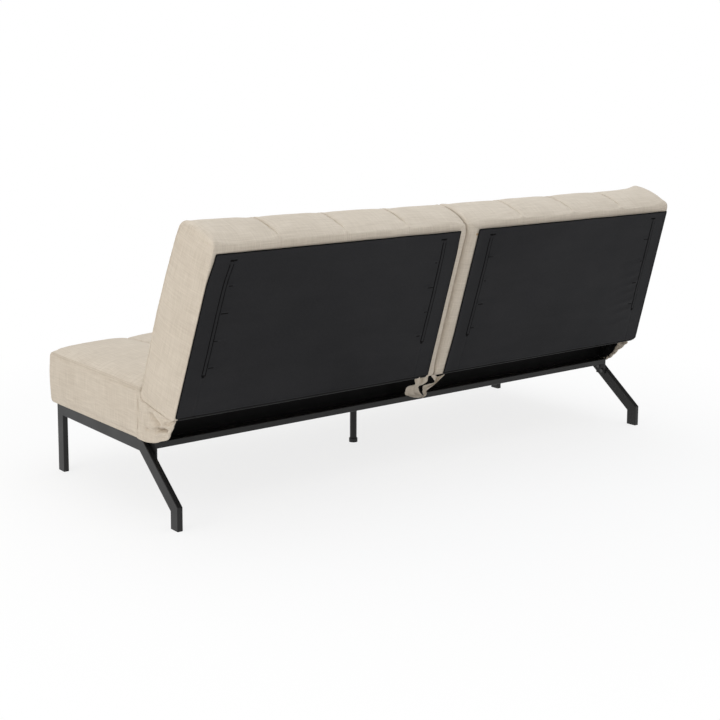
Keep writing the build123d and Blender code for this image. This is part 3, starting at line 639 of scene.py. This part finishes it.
def make_dust_cover(name, sign, seed):
    """Black cloth on a back half's rear, turned under it, with a sewn border, two tucks and puckers."""
    low, high = (-0.0065 if sign > 0 else -0.0085), 0.506
    near = {0.0, 0.0015, 0.0035, 0.006, 0.009, 0.016, 0.11}
    near.update(tuck_inset + side * step for side in (-1, 1)
                for step in (0.0, 0.0018, 0.0034, 0.0042, 0.0052, 0.0062, 0.0074, 0.010, 0.015))
    edge = spread(near, 0.008)
    heights = {tuck_low, tuck_top}
    for step in (0.0, 0.0006, 0.0015, 0.0035, 0.006, 0.009, 0.013):
        heights.update((low + step, high - step))
    heights.update(line + step for line in (tuck_low, tuck_top) for step in (-0.005, -0.0025, 0.0025, 0.005))
    heights.update(row + step for row in wrinkle_rows for step in (-0.006, -0.003, 0.0, 0.003, 0.006))
    rows, ins, outs, ups = [], [], [], []

    def columns(u):
        inner = 0.035 - 0.004 * smooth(0.50, 0.42, u) if sign > 0 else 0.035 + 0.006 * smooth(-0.02, 0.15, u)
        inner = inner + turned(u - low, 0.004) + turned(high - u, 0.003)
        outer = side_x(0.126, u) - 0.002 - 0.009 * smooth(0.40, 0.506, u) * (sign > 0)
        outer = outer - turned(u - low, 0.012) - turned(high - u, 0.004)
        middle = np.linspace(inner + 0.11, outer - 0.11, 72)[1:-1]
        x = np.concatenate([inner + edge, middle, outer - edge[::-1]])
        return x, x - inner, outer - x

    def keep(points, u, from_in, from_out):
        rows.append(points)
        ins.append(from_in)
        outs.append(from_out)
        ups.append(np.full_like(from_in, u))

    for n, u in turned_under:
        x, from_in, from_out = columns(low)
        keep(joined(sign * x, *back_point(n, u)), u, from_in, from_out)
    for u in spread(heights, 0.0065):
        x, from_in, from_out = columns(u)
        border = np.minimum(np.minimum(from_in, from_out), min(u - low, high - u))
        lift = 0.0011 * bump(border - 0.006, 0.0025) - 0.0006 * bump(border - 0.0022, 0.0015)
        active = smooth(tuck_low - 0.004, tuck_low + 0.004, u) * smooth(tuck_top + 0.004, tuck_top - 0.004, u)
        for kind, where in ((0, from_in), (1, from_out)):
            t = where - tuck_inset
            away = np.maximum(t - 0.006, 0)
            lift = lift + active * (0.0020 * smooth(tuck_pair, tuck_pair - 0.002, np.abs(t))
                                    - 0.0010 * bump(np.abs(t) - tuck_pair, 0.0013))
            lift = lift - 0.0010 * bump(u - tuck_top, 0.0025) * smooth(0.016, 0.012, np.abs(t - 0.004))
            lift = lift - 0.0010 * bump(u - tuck_low, 0.0035) * bump(t, 0.004)
            lift = lift - 0.0008 * bump(t + 0.002 * kind, 0.003) * smooth(tuck_low, tuck_low - 0.02, u)
            for k, row in enumerate(wrinkle_rows):
                tilt = 0.10 * math.sin(seed + 2.1 * k + kind) * away
                size = 0.0026 * (0.75 + 0.45 * math.sin(3.3 * k + seed + kind))
                lift = lift + size * bump(t - 0.022, 0.014) * (bump(u - row - tilt - 0.004, 0.0035)
                                                               - 0.5 * bump(u - row - tilt + 0.001, 0.0025))
            if kind == 1 and sign < 0:
                for row, size in fan_rows:
                    line = u - row + 0.14 * away + 0.6 * away ** 2
                    fade = np.exp(-(away / 0.075) ** 2) * smooth(0.002, 0.012, t)
                    lift = lift + size * bump(line, 0.0075) * fade
        flat = joined(sign * x, *back_point(0.1266 - 0.0022 * smooth(0.0, -0.0085, u), u))
        inside = smooth(0, 0.035, np.minimum(from_in, from_out))
        slack = 0.0011 * rough(flat * (1, 0.6, 0.6), 0.10, seed)
        slack = slack + 0.0006 * rough(flat * (0.25, 1, 1), 0.035, seed + 4)
        lift = lift + slack * inside
        keep(flat + np.outer(np.maximum(lift, -0.0012), (0, lean_cos, -lean_sin)), u, from_in, from_out)
    sheet = grid_object(name, np.array(rows))
    a, b, u = (cell_middle(np.array(v)) for v in (ins, outs, ups))
    # Faces that take the near-black thread material: thread along the border, and painted crease shade in the
    # tucks' slits, at the tucks' ends and in the wrinkles' hollows.
    sewn = np.minimum(np.minimum(a, b), np.minimum(u - low, high - u)) < 0.0035
    for kind, t in enumerate((a - tuck_inset, b - tuck_inset)):
        wide = np.where((t > 0) == (sign * (1 if kind else -1) > 0), 0.0021, 0.0013)
        sewn |= (np.abs(np.abs(t) - tuck_pair) < wide) & (u > tuck_low) & (u < tuck_top - 0.008)
        sewn |= (np.abs(u - tuck_top) < 0.0026) & (np.abs(t - 0.003) < 0.011)
        sewn |= (np.abs(u - tuck_low) < 0.0045) & (np.abs(t) < 0.0042)
        for k, row in enumerate(wrinkle_rows):
            start = 0.011 + 0.004 * math.sin(seed + 1.7 * k + kind)
            end = start + 0.016 + 0.006 * math.cos(2.3 * k + seed)
            sewn |= (np.abs(u - row + 0.0015) < 0.0014) & (t > start) & (t < end)
    index = sewn.astype(np.int32)
    # The turned-under rows take the darker lining cloth instead of the dust cloth: painted shade under the
    # back.
    index[:len(turned_under)] = 2
    sheet.data.polygons.foreach_set("material_index", index.ravel())
    return sheet


covers = {"left": make_dust_cover("back_dust_sheet_left", 1, 2.0),
          "right": make_dust_cover("back_dust_sheet_right", -1, 5.0)}


def make_lining():
    """Black cloth down the seat's rear face, in the extra-dark cloth that paints the shade under the backs.
    """
    x = np.linspace(-0.9865, 0.9865, 220)
    rows = []
    for z in np.linspace(0.2215, 0.345, 16):
        wave = 0.0007 * np.sin(x * 61 + 2 * np.sin(x * 9)) * smooth(0.345, 0.30, z)
        rows.append(joined(x, 0.1372 + wave, z))
    return grid_object("seat_rear_lining_sheet", np.array(rows))


def make_under_cover():
    x = np.linspace(-0.9555, 0.9555, 120)
    rows = []
    for y in np.linspace(-0.4382, 0.1238, 40):
        wave = 0.0002 * np.sin(x * 30 + y * 20)
        rows.append(joined(x, y, 0.2209 + wave))
    return grid_object("seat_dust_sheet", np.array(rows))


lining = make_lining()
under_cover = make_under_cover()


def through(points, count):
    """count + 1 points on a smooth curve through points."""
    points = np.array(points, float)
    t = np.linspace(0, len(points) - 1, count + 1)
    k = np.clip(t.astype(int), 0, len(points) - 2)
    f = (t - k)[:, None]
    before, after = points[np.maximum(k - 1, 0)], points[np.minimum(k + 2, len(points) - 1)]
    a, b = points[k], points[k + 1]
    return 0.5 * (2 * a + (b - before) * f + (2 * before - 5 * a + 4 * b - after) * f ** 2
                  + (3 * a - before - 3 * b + after) * f ** 3)


def fold_line(points, start, end, width, height):
    """Ridge, or hollow if height is negative, along a line in the Y-Z plane."""
    start, end = np.array(start), np.array(end)
    chord = end - start
    long = np.linalg.norm(chord)
    off = points - start
    along = off @ chord / long
    beyond = np.maximum(np.maximum(-along, along - long), 0)
    aside = off @ np.array([-chord[1], chord[0]]) / long
    return height * bump(aside, width) * bump(beyond, width)


def below_back(points):
    """How far points of the Y-Z plane lie below the back's bottom edge."""
    front = np.array(back_point(back_front, back_low))
    rear = np.array(back_point(back_face, back_low + back_rear_lift))
    chord = rear - front
    return (points - front) @ np.array([chord[1], -chord[0]]) / np.linalg.norm(chord)


gusset_heads = [(0.9885, 0.1130, 0.3700), (0.9922, 0.1280, 0.3715), (0.9910, 0.1420, 0.3730),
                (0.9880, 0.1530, 0.3720), (0.9850, 0.1620, 0.3680)]
gusset_rims = {
    "left": [(0.9885, 0.1080, 0.2290), (0.9918, 0.1270, 0.2285), (0.9895, 0.1515, 0.2262),
             (0.9880, 0.1726, 0.2275), (0.9868, 0.2114, 0.2338), (0.9855, 0.2486, 0.2462),
             (0.9850, 0.2859, 0.2601), (0.9820, 0.2954, 0.2786), (0.9770, 0.3020, 0.2957),
             (0.9730, 0.3042, 0.3100), (0.9700, 0.3040, 0.3195)],
    "right": [(0.9885, 0.1080, 0.2270), (0.9912, 0.1290, 0.2220), (0.9880, 0.1540, 0.2180),
              (0.9840, 0.1742, 0.2205), (0.9810, 0.1932, 0.2295), (0.9800, 0.2123, 0.2435),
              (0.9800, 0.2311, 0.2623), (0.9800, 0.2549, 0.2823), (0.9790, 0.2754, 0.2989),
              (0.9760, 0.2811, 0.3104), (0.9700, 0.2850, 0.3220)],
}
gusset_folds = [
    ((0.2006, 0.3108), (0.2361, 0.2919), 0.0120, -0.0150),
    ((0.1829, 0.3283), (0.2619, 0.3001), 0.0055, 0.0050),
    ((0.2074, 0.2797), (0.2920, 0.2955), 0.0055, 0.0080),
    ((0.2330, 0.2772), (0.2791, 0.2855), 0.0050, -0.0200),
    ((0.2150, 0.2741), (0.2400, 0.2785), 0.0050, -0.0080),
    ((0.2248, 0.2590), (0.2915, 0.2804), 0.0070, 0.0055),
    ((0.1679, 0.2732), (0.1835, 0.2659), 0.0050, -0.0060),
    ((0.1601, 0.3129), (0.1689, 0.2640), 0.0065, 0.0045),
    ((0.2960, 0.2839), (0.3060, 0.2990), 0.0035, -0.0060),
    ((0.2950, 0.3137), (0.3100, 0.3195), 0.0032, -0.0060),
    ((0.2670, 0.3012), (0.2923, 0.3059), 0.0040, -0.0070),
    ((0.2504, 0.2588), (0.2658, 0.2635), 0.0040, -0.0040),
    ((0.1450, 0.3700), (0.1500, 0.3300), 0.0060, 0.0015),
]


def make_end_gusset(name, sign, side, seed):
    """Loose cloth from the seat's rear edge to the back's lower rear corner, lined black, in the extra-dark
    cloth whose added darkness is painted shade.
    """
    across, out = 96, 40
    rim, head = through(gusset_rims[side], across), through(gusset_heads, across)
    f = np.linspace(0, 1, across + 1)
    scallop = np.abs(np.sin(math.pi * 8 * f)) * smooth(0.22, 0.32, f) * smooth(1.0, 0.93, f)
    if side == "left":
        size, start, turn, calm = 0.0006, 1.0, 0.0015, 0.93
    else:
        size, start, turn, calm = 0.0030, smooth(0.16, 0.26, f), 0.0050, 0.75
    reach = np.linalg.norm(rim - head, axis=1)
    rim = rim + (rim - head) * (size * scallop / reach)[:, None]
    hem = 0.0006 + 0.009 * start + 0.017 * smooth(0.40, 0.9, f)

    def cloth(r):
        row = head + (rim - head) * r
        plane = row[:, 1:]
        hold = smooth(0.0, 0.14, f) * smooth(1.0, 0.92, f) * smooth(0.05, 0.30, r) * smooth(1.0, calm, r)
        wave = sum(fold_line(plane, *fold) for fold in gusset_folds)
        row[:, 0] += hold * (wave + 0.0016 * rough(row, 0.016, seed))
        n = back_axes(plane[:, 0] - hinge_y, plane[:, 1] - hinge_z)[0]
        row[:, 0] -= (0.012 * smooth(0.004, -0.002, below_back(plane)) * smooth(0.315, 0.26, plane[:, 0])
                      * smooth(back_front - 0.004, back_front + 0.016, n))
        return row

    rows, share = [], []
    for r in np.linspace(0, 1, out + 1):
        rows.append(cloth(r))
        share.append(np.full(across + 1, 1.0))
    for r in np.linspace(1, 0, out + 1):
        row = cloth(r)
        into = 1 - (1 - r) * reach / hem
        twist = np.abs(np.sin(math.pi * (8 * f - 0.7 * into)))
        row[:, 0] -= 0.003 + turn * twist * smooth(0.0, 0.25, into) * smooth(0.16, 0.28, f)
        rows.append(row)
        share.append(into)
    points = np.array(rows) * (sign, 1, 1)
    piece = grid_object(name, points)
    # Inner faces take the extra-dark lining cloth: black lining with painted shade on top.
    lined = cell_middle(np.array(share)) < 0
    piece.data.polygons.foreach_set("material_index", lined.ravel().astype(np.int32))
    return piece


def make_strip(name, left, right, folds, seed):
    """Crumpled cloth between two edges, given as points from its top to its tail."""
    along, across = 60, 28
    start, end = through(left, along), through(right, along)
    f = np.linspace(0, 1, across + 1)
    rows = []
    for j in range(along + 1):
        row = start[j] + np.outer(f, end[j] - start[j])
        wave = 0.012 * np.sin(2 * math.pi * folds * f + 0.08 * j + seed) * np.sin(math.pi * f) ** 0.5
        wave = wave + 0.0045 * (bump(f, 0.10) + bump(1 - f, 0.10))
        row = row + np.outer(wave, (0.3, 0.8, 0.5))
        row = row + np.outer(0.0032 * rough(row, 0.012, seed), (0.2, 0.8, 0.5))
        rows.append(row)
    return grid_object(name, np.array(rows))


gussets = {
    "end_left": make_end_gusset("gusset_cloth_end_left", 1, "left", 3.0),
    "end_right": make_end_gusset("gusset_cloth_end_right", -1, "right", 9.0),
    "centre_left": make_strip(
        "gusset_cloth_centre_left",
        [(0.0803, 0.303, 0.3200), (0.0654, 0.290, 0.2903), (0.0658, 0.262, 0.2810), (0.0573, 0.235, 0.2636),
         (0.0291, 0.205, 0.2330), (-0.0338, 0.194, 0.2150)],
        [(0.0180, 0.304, 0.3176), (0.0158, 0.294, 0.2954), (0.0160, 0.275, 0.2818), (0.0103, 0.245, 0.2679),
         (-0.0228, 0.212, 0.2367), (-0.0594, 0.191, 0.2137)], 2.0, 4.0),
    "centre_right": make_strip(
        "gusset_cloth_centre_right",
        [(0.0080, 0.303, 0.3150), (-0.0167, 0.293, 0.2887), (-0.0057, 0.275, 0.2788),
         (-0.0032, 0.252, 0.2693), (-0.0273, 0.225, 0.2454), (-0.0488, 0.202, 0.2227),
         (-0.0483, 0.189, 0.2125)],
        [(-0.0516, 0.303, 0.3099), (-0.0281, 0.292, 0.2855), (-0.0220, 0.272, 0.2671),
         (-0.0217, 0.250, 0.2508), (-0.0437, 0.222, 0.2299), (-0.0604, 0.200, 0.2168),
         (-0.0594, 0.189, 0.2095)], 1.0, 7.0),
}


# Materials

class Graph:
    """Shader nodes of one material or world, with short calls for the ones used often."""

    def __init__(self, tree):
        self.tree = tree

    def feed(self, node, inputs):
        """Give a node its inputs; each is a value or another node's output."""
        for key, value in inputs.items():
            if isinstance(value, bpy.types.NodeSocket):
                self.tree.links.new(value, node.inputs[key])
            else:
                node.inputs[key].default_value = value
        return node

    def add(self, kind, inputs=None, **settings):
        node = self.tree.nodes.new("ShaderNode" + kind)
        for key, value in settings.items():
            setattr(node, key, value)
        return self.feed(node, inputs or {})

    def math(self, operation, *values):
        return self.add("Math", dict(enumerate(values)), operation=operation).outputs[0]

    def parts(self, vector):
        return self.add("SeparateXYZ", {0: vector}).outputs

    def place(self):
        return self.add("TexCoord").outputs["Object"]

    def noise(self, vector, scale, detail=2.0, offset=0.0):
        """Noise value at a vector stretched by scale, one number for each direction."""
        spot = self.add("Mapping", {"Vector": vector, "Location": (offset, offset, offset), "Scale": scale})
        inputs = {"Vector": spot.outputs[0], "Scale": 1.0, "Detail": detail}
        return self.add("TexNoise", inputs).outputs["Fac"]

    def colour(self, factor, dark, light):
        ramp = self.add("ValToRGB", {"Fac": factor})
        ramp.color_ramp.elements[0].color = (*dark, 1)
        ramp.color_ramp.elements[1].color = (*light, 1)
        return ramp.outputs["Color"]

    def bump(self, height, strength, distance):
        inputs = {"Height": height, "Strength": strength, "Distance": distance}
        return self.add("Bump", inputs).outputs["Normal"]

    def ranged(self, value, low, high, first, last, **settings):
        """A value carried over from low..high to first..last."""
        return self.add("MapRange", {0: value, 1: low, 2: high, 3: first, 4: last}, **settings).outputs[0]

    def mixed(self, factor, first, second):
        return self.add("Mix", {"Factor": factor, "A": first, "B": second}, data_type="FLOAT").outputs[0]


def material(name):
    made = bpy.data.materials.new(name)
    made.use_nodes = True
    return made, Graph(made.node_tree), made.node_tree.nodes["Principled BSDF"]


def cloth_plane(graph, lean):
    """Place along and across the threads, in metres, on whichever way a face points."""
    here = graph.add("TexCoord").outputs
    centre = (0.0, hinge_y, hinge_z)
    where = graph.add("VectorRotate", {"Vector": here["Object"], "Center": centre, "Angle": lean},
                      rotation_type="X_AXIS").outputs[0]
    facing = graph.add("VectorRotate", {"Vector": here["Normal"], "Angle": lean},
                       rotation_type="X_AXIS").outputs[0]
    at = graph.parts(where)
    size = graph.parts(graph.add("VectorMath", {0: facing}, operation="ABSOLUTE").outputs[0])
    side = graph.math("GREATER_THAN", size[0], graph.math("MAXIMUM", size[1], size[2]))
    top = graph.math("GREATER_THAN", size[2], graph.math("MAXIMUM", size[0], size[1]))
    along, across = graph.mixed(side, at[0], at[1]), graph.mixed(top, at[2], at[1])
    return graph.add("CombineXYZ", {0: along, 1: across}).outputs[0], along, across


def checks(graph, along, across, pitch):
    """Waves along and across the cloth, multiplied."""
    turns = 2 * math.pi / pitch
    waves = [graph.math("SINE", graph.math("MULTIPLY", way, turns)) for way in (along, across)]
    return graph.math("MULTIPLY", *waves)


def make_fabric(name, lean):
    """Melange linen-look weave: two thread directions with slubs, and a fine nap."""
    made, graph, shader = material(name)
    plane, along, across = cloth_plane(graph, lean)
    warp, weft = graph.noise(plane, (520, 16, 1), 2.0, 3.1), graph.noise(plane, (16, 520, 1), 2.0, 7.7)
    slub_warp = graph.noise(plane, (270, 14, 1), 1.0, 1.9)
    slub_weft = graph.noise(plane, (14, 270, 1), 1.0, 5.3)
    cloud = graph.noise(plane, (7, 7, 1), 2.0, 9.2)
    threads, slubs = graph.math("ADD", warp, weft), graph.math("ADD", slub_warp, slub_weft)
    tone = graph.math("MULTIPLY_ADD", threads, 0.55, graph.math("MULTIPLY", slubs, 0.55))
    tone = graph.math("MULTIPLY_ADD", cloud, 0.42, tone)
    tone = graph.math("ADD", graph.math("SUBTRACT", tone, 1.31), 0.5)
    knit = checks(graph, along, across, 0.0022)
    height = graph.math("MULTIPLY_ADD", knit, 0.25, graph.math("ADD", threads, slubs))
    graph.feed(shader, {"Base Color": graph.colour(tone, fabric_dark, fabric_light),
                        "Normal": graph.bump(height, 0.30, 0.0010), "Roughness": 0.92,
                        "Specular IOR Level": 0.18, "Sheen Weight": 0.12, "Sheen Roughness": 0.45,
                        "Sheen Tint": (1.0, 0.95, 0.88, 1)})
    return made


def make_dust(name, lean, dark, light):
    """Black bonded cloth with tiny press dots."""
    made, graph, shader = material(name)
    plane, along, across = cloth_plane(graph, lean)
    fibres = graph.noise(plane, (260, 200, 1), 3.0, 2.4)
    cloud = graph.noise(plane, (6, 9, 1), 2.0, 6.1)
    drift = graph.noise(plane, (2.2, 3.0, 1), 1.0, 4.4)
    tone = graph.math("MULTIPLY_ADD", fibres, 0.5, graph.math("MULTIPLY", cloud, 0.5))
    tone = graph.math("ADD", tone, graph.math("SUBTRACT", drift, 0.5))
    height = graph.math("MULTIPLY_ADD", checks(graph, along, across, 0.0016), 0.5, fibres)
    graph.feed(shader, {"Base Color": graph.colour(tone, dark, light),
                        "Normal": graph.bump(height, 0.22, 0.0006), "Roughness": 0.72,
                        "Specular IOR Level": 0.12, "Sheen Weight": 0.02})
    return made


def make_thread(name, dark, light):
    """Twisted sewing thread; the near-black one also serves as painted crease shade on the dust covers."""
    made, graph, shader = material(name)
    twist = graph.noise(graph.place(), (900, 900, 900))
    graph.feed(shader, {"Base Color": graph.colour(twist, dark, light), "Roughness": 0.9,
                        "Specular IOR Level": 0.1})
    return made


def make_paint():
    """Satin black powder coat with a fine orange peel."""
    made, graph, shader = material("frame_paint_black")
    place = graph.place()
    peel = graph.noise(place, (650, 650, 650))
    cloud = graph.noise(place, (11, 11, 11), 3.0, 4.2)
    graph.feed(shader, {"Base Color": graph.colour(cloud, (0.007, 0.007, 0.007), (0.014, 0.014, 0.0138)),
                        "Roughness": graph.ranged(cloud, 0.3, 0.7, 0.34, 0.46),
                        "Normal": graph.bump(peel, 0.08, 0.0006), "Specular IOR Level": 0.36})
    return made


def make_plastic():
    made, graph, shader = material("foot_plastic_black")
    grain = graph.noise(graph.place(), (1400, 1400, 1400))
    graph.feed(shader, {"Base Color": graph.colour(grain, (0.010, 0.010, 0.010), (0.020, 0.020, 0.020)),
                        "Normal": graph.bump(grain, 0.15, 0.0003), "Roughness": 0.55})
    return made


def make_wood():
    made, graph, shader = material("frame_wood_pine")
    place = graph.place()
    rings = graph.noise(place, (9, 55, 55), 4.0)
    pores = graph.noise(place, (40, 600, 600), 2.0, 3.0)
    tone = graph.math("MULTIPLY_ADD", pores, 0.3, graph.math("MULTIPLY", rings, 0.7))
    graph.feed(shader, {"Base Color": graph.colour(tone, (0.30, 0.19, 0.095), (0.62, 0.46, 0.27)),
                        "Normal": graph.bump(tone, 0.2, 0.0008), "Roughness": 0.7})
    return made


def make_metal(name, dark, light, rough_low, rough_high):
    """Plated or oiled steel with faint blotches and rolling lines."""
    made, graph, shader = material(name)
    place = graph.place()
    blotch = graph.noise(place, (60, 60, 60), 3.0)
    lines = graph.noise(place, (500, 40, 900), 2.0, 2.0)
    tone = graph.math("MULTIPLY_ADD", lines, 0.35, graph.math("MULTIPLY", blotch, 0.65))
    graph.feed(shader, {"Base Color": graph.colour(tone, dark, light),
                        "Roughness": graph.ranged(tone, 0.3, 0.7, rough_low, rough_high),
                        "Normal": graph.bump(lines, 0.06, 0.0004), "Metallic": 1.0})
    return made


def make_webbing():
    """Black elastic belt with ribs along it."""
    made, graph, shader = material("webbing_black")
    ribs = graph.noise(graph.place(), (700, 60, 60), 1.0)
    graph.feed(shader, {"Base Color": graph.colour(ribs, (0.012, 0.012, 0.012), (0.045, 0.045, 0.045)),
                        "Normal": graph.bump(ribs, 0.4, 0.001), "Roughness": 0.8})
    return made


def wear(pieces, *cloths):
    """Give each piece its materials, in the order that its faces number them."""
    for piece in pieces:
        for cloth in cloths:
            piece.data.materials.append(cloth)


fabric_dark, fabric_light = (0.515, 0.446, 0.362), (0.735, 0.660, 0.560)
fabric_seat = make_fabric("cover_fabric_seat", 0.0)
fabric_back = make_fabric("cover_fabric_back", recline)
dust = make_dust("dust_cloth_black", recline, (0.0146, 0.0146, 0.0162), (0.0278, 0.0278, 0.0298))
# Lining cloth: black cloth made four times darker than the dust cloth, as painted shade in the gap under the
# backs, inside the end gussets and on the turned-under dust covers.
lining_with_painted_shade = make_dust("black_lining_painted_shade", 0.0, (0.0035, 0.0035, 0.0038), (0.0070, 0.0070, 0.0074))
# The black thread material also paints crease shade: it is put on the dust covers' tuck slits and wrinkle
# hollows as well as their sewn border.
thread_and_crease_shade = make_thread("seam_thread_and_crease_shade", (0.0015, 0.0015, 0.0015), (0.0045, 0.0045, 0.0045))
beige_thread = make_thread("seam_thread_beige", (0.42, 0.35, 0.27), (0.58, 0.50, 0.40))
zinc = make_metal("hinge_steel_zinc", (0.42, 0.42, 0.40), (0.62, 0.62, 0.60), 0.32, 0.48)
black_steel = make_metal("fastener_steel_black", (0.05, 0.05, 0.05), (0.12, 0.12, 0.12), 0.30, 0.45)
slot_material = {"cover_fabric": fabric_seat, "dust_cloth": dust, "webbing": make_webbing(),
                 "frame_wood": make_wood(), "frame_paint": make_paint(), "foot_plastic": make_plastic(),
                 "hinge_steel": zinc, "fastener_steel": black_steel}

wear((seat, gussets["centre_left"], gussets["centre_right"]), fabric_seat)
wear((gussets["end_left"], gussets["end_right"]), fabric_seat, lining_with_painted_shade)
wear(backs.values(), fabric_back)
wear((lining, under_cover), lining_with_painted_shade)
wear(covers.values(), dust, thread_and_crease_shade, lining_with_painted_shade)
wear((welt_thread, *mitre_threads.values()), beige_thread)

for entry in frame["record"]["subparts"]:
    node = nodes[entry["node"]]
    node.data.materials.clear()
    node.data.materials.append(slot_material[entry["material_slot"]])

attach(seat, "base")
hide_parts("seat_cushion")
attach(welt_thread, "base")
for key in ("left", "right"):
    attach(backs[key], f"back_{key}")
    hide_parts(f"back_cushion_{key}")
    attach(mitre_threads[key], f"back_{key}")
    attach(covers[key], f"back_{key}")
    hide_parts(f"back_dust_cover_{key}")
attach(lining, "base")
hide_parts("seat_rear_lining")
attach(under_cover, "base")
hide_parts("seat_dust_cover")
for key, piece in gussets.items():
    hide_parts(f"gusset_{key}")
    if key.startswith("end"):
        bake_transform(piece)
    else:
        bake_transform(piece)


# Floor, light and camera

def seen_rays(graph):
    """1 for rays that show the backdrop: from the camera, or off and through something shiny."""
    path = graph.add("LightPath").outputs
    seen = graph.math("MAXIMUM", path["Is Camera Ray"], path["Is Glossy Ray"])
    return graph.math("MAXIMUM", seen, path["Is Transmission Ray"]), path["Is Glossy Ray"]


def make_floor():
    """Pale floor that keeps the object's shadow and turns into the white backdrop further out."""
    floor = mesh_object("floor", [(-30, -30, 0), (30, -30, 0), (30, 30, 0), (-30, 30, 0)], [(0, 1, 2, 3)])
    made, graph, shader = material("floor_pale")
    graph.feed(shader, {"Base Color": (0.93, 0.93, 0.93, 1), "Roughness": 0.95, "Specular IOR Level": 0.05})
    seen = seen_rays(graph)[0]
    spot = graph.add("NewGeometry").outputs["Position"]
    away = graph.add("VectorMath", {0: spot}, operation="LENGTH").outputs["Value"]
    fade = graph.ranged(away, 0.9, 2.2, 0.80, 1.0, interpolation_type="SMOOTHSTEP")
    white = graph.add("Emission", {"Color": (1, 1, 1, 1), "Strength": 1.0})
    shown = graph.math("MULTIPLY", seen, fade)
    mix = graph.add("MixShader", {0: shown, 1: shader.outputs[0], 2: white.outputs[0]})
    graph.feed(graph.tree.nodes["Material Output"], {"Surface": mix.outputs[0]})
    floor.data.materials.append(made)


def make_world():
    """White backdrop, brighter to the front left in shiny faces; less light comes from low behind."""
    world = bpy.data.worlds.new("studio")
    scene.world = world
    world.use_nodes = True
    world.node_tree.nodes.clear()
    graph = Graph(world.node_tree)
    seen, glossy = seen_rays(graph)
    way = graph.parts(graph.add("TexCoord").outputs["Generated"])
    aside = graph.math("SUBTRACT", graph.math("MULTIPLY", way[0], 0.8), graph.math("MULTIPLY", way[1], 0.6))
    bright = graph.ranged(aside, -0.5, 0.6, 0.15, 1.0, interpolation_type="SMOOTHSTEP")
    low_rear = graph.math("MULTIPLY_ADD", way[2], -0.9, way[1])
    behind = graph.ranged(low_rear, 0.1, 0.8, 0.69, 0.22, interpolation_type="SMOOTHSTEP")
    ambient = graph.add("Background", {"Color": (1.0, 0.985, 0.965, 1), "Strength": behind})
    level = graph.mixed(glossy, 1.0, bright)
    white = graph.add("Background", {"Color": (1, 1, 1, 1), "Strength": level})
    mix = graph.add("MixShader", {0: seen, 1: ambient.outputs[0], 2: white.outputs[0]})
    graph.add("OutputWorld", {"Surface": mix.outputs[0]})


def softbox(name, place, target, width, height, power, colour):
    data = bpy.data.lights.new(name, "AREA")
    data.shape = "RECTANGLE"
    data.size, data.size_y = width, height
    data.energy = power
    data.color = colour
    lamp = bpy.data.objects.new(name, data)
    scene.collection.objects.link(lamp)
    lamp.location = place
    lamp.rotation_euler = (Vector(target) - Vector(place)).to_track_quat("-Z", "Y").to_euler()
    lamp.visible_camera = lamp.visible_glossy = False


make_floor()
make_world()
softbox("overhead_softbox", (-0.5, 0.3, 3.3), (-0.2, 0, 0.4), 4.0, 3.0, 43.5, (0.82, 0.90, 1.0))
softbox("left_softbox", (4.0, 0.6, 1.7), (0, 0.1, 0.4), 2.4, 2.0, 32.0, (1.0, 0.98, 0.95))
softbox("rear_softbox", (1.4, 4.4, 2.2), (0.2, 0.1, 0.5), 2.6, 1.8, 10.0, (1.0, 0.99, 0.97))

camera_data = bpy.data.cameras.new("camera")
camera = bpy.data.objects.new("camera", camera_data)
scene.collection.objects.link(camera)
camera.location = (2.8783, 3.5691, 1.3132)
camera.rotation_euler = (math.radians(82.3216), 0, math.radians(143.4453))
camera_data.sensor_width = 36
camera_data.lens = 67.9365
camera_data.shift_x = 0.0556
camera_data.shift_y = -0.1528
scene.camera = camera
scene.view_settings.view_transform = "Standard"
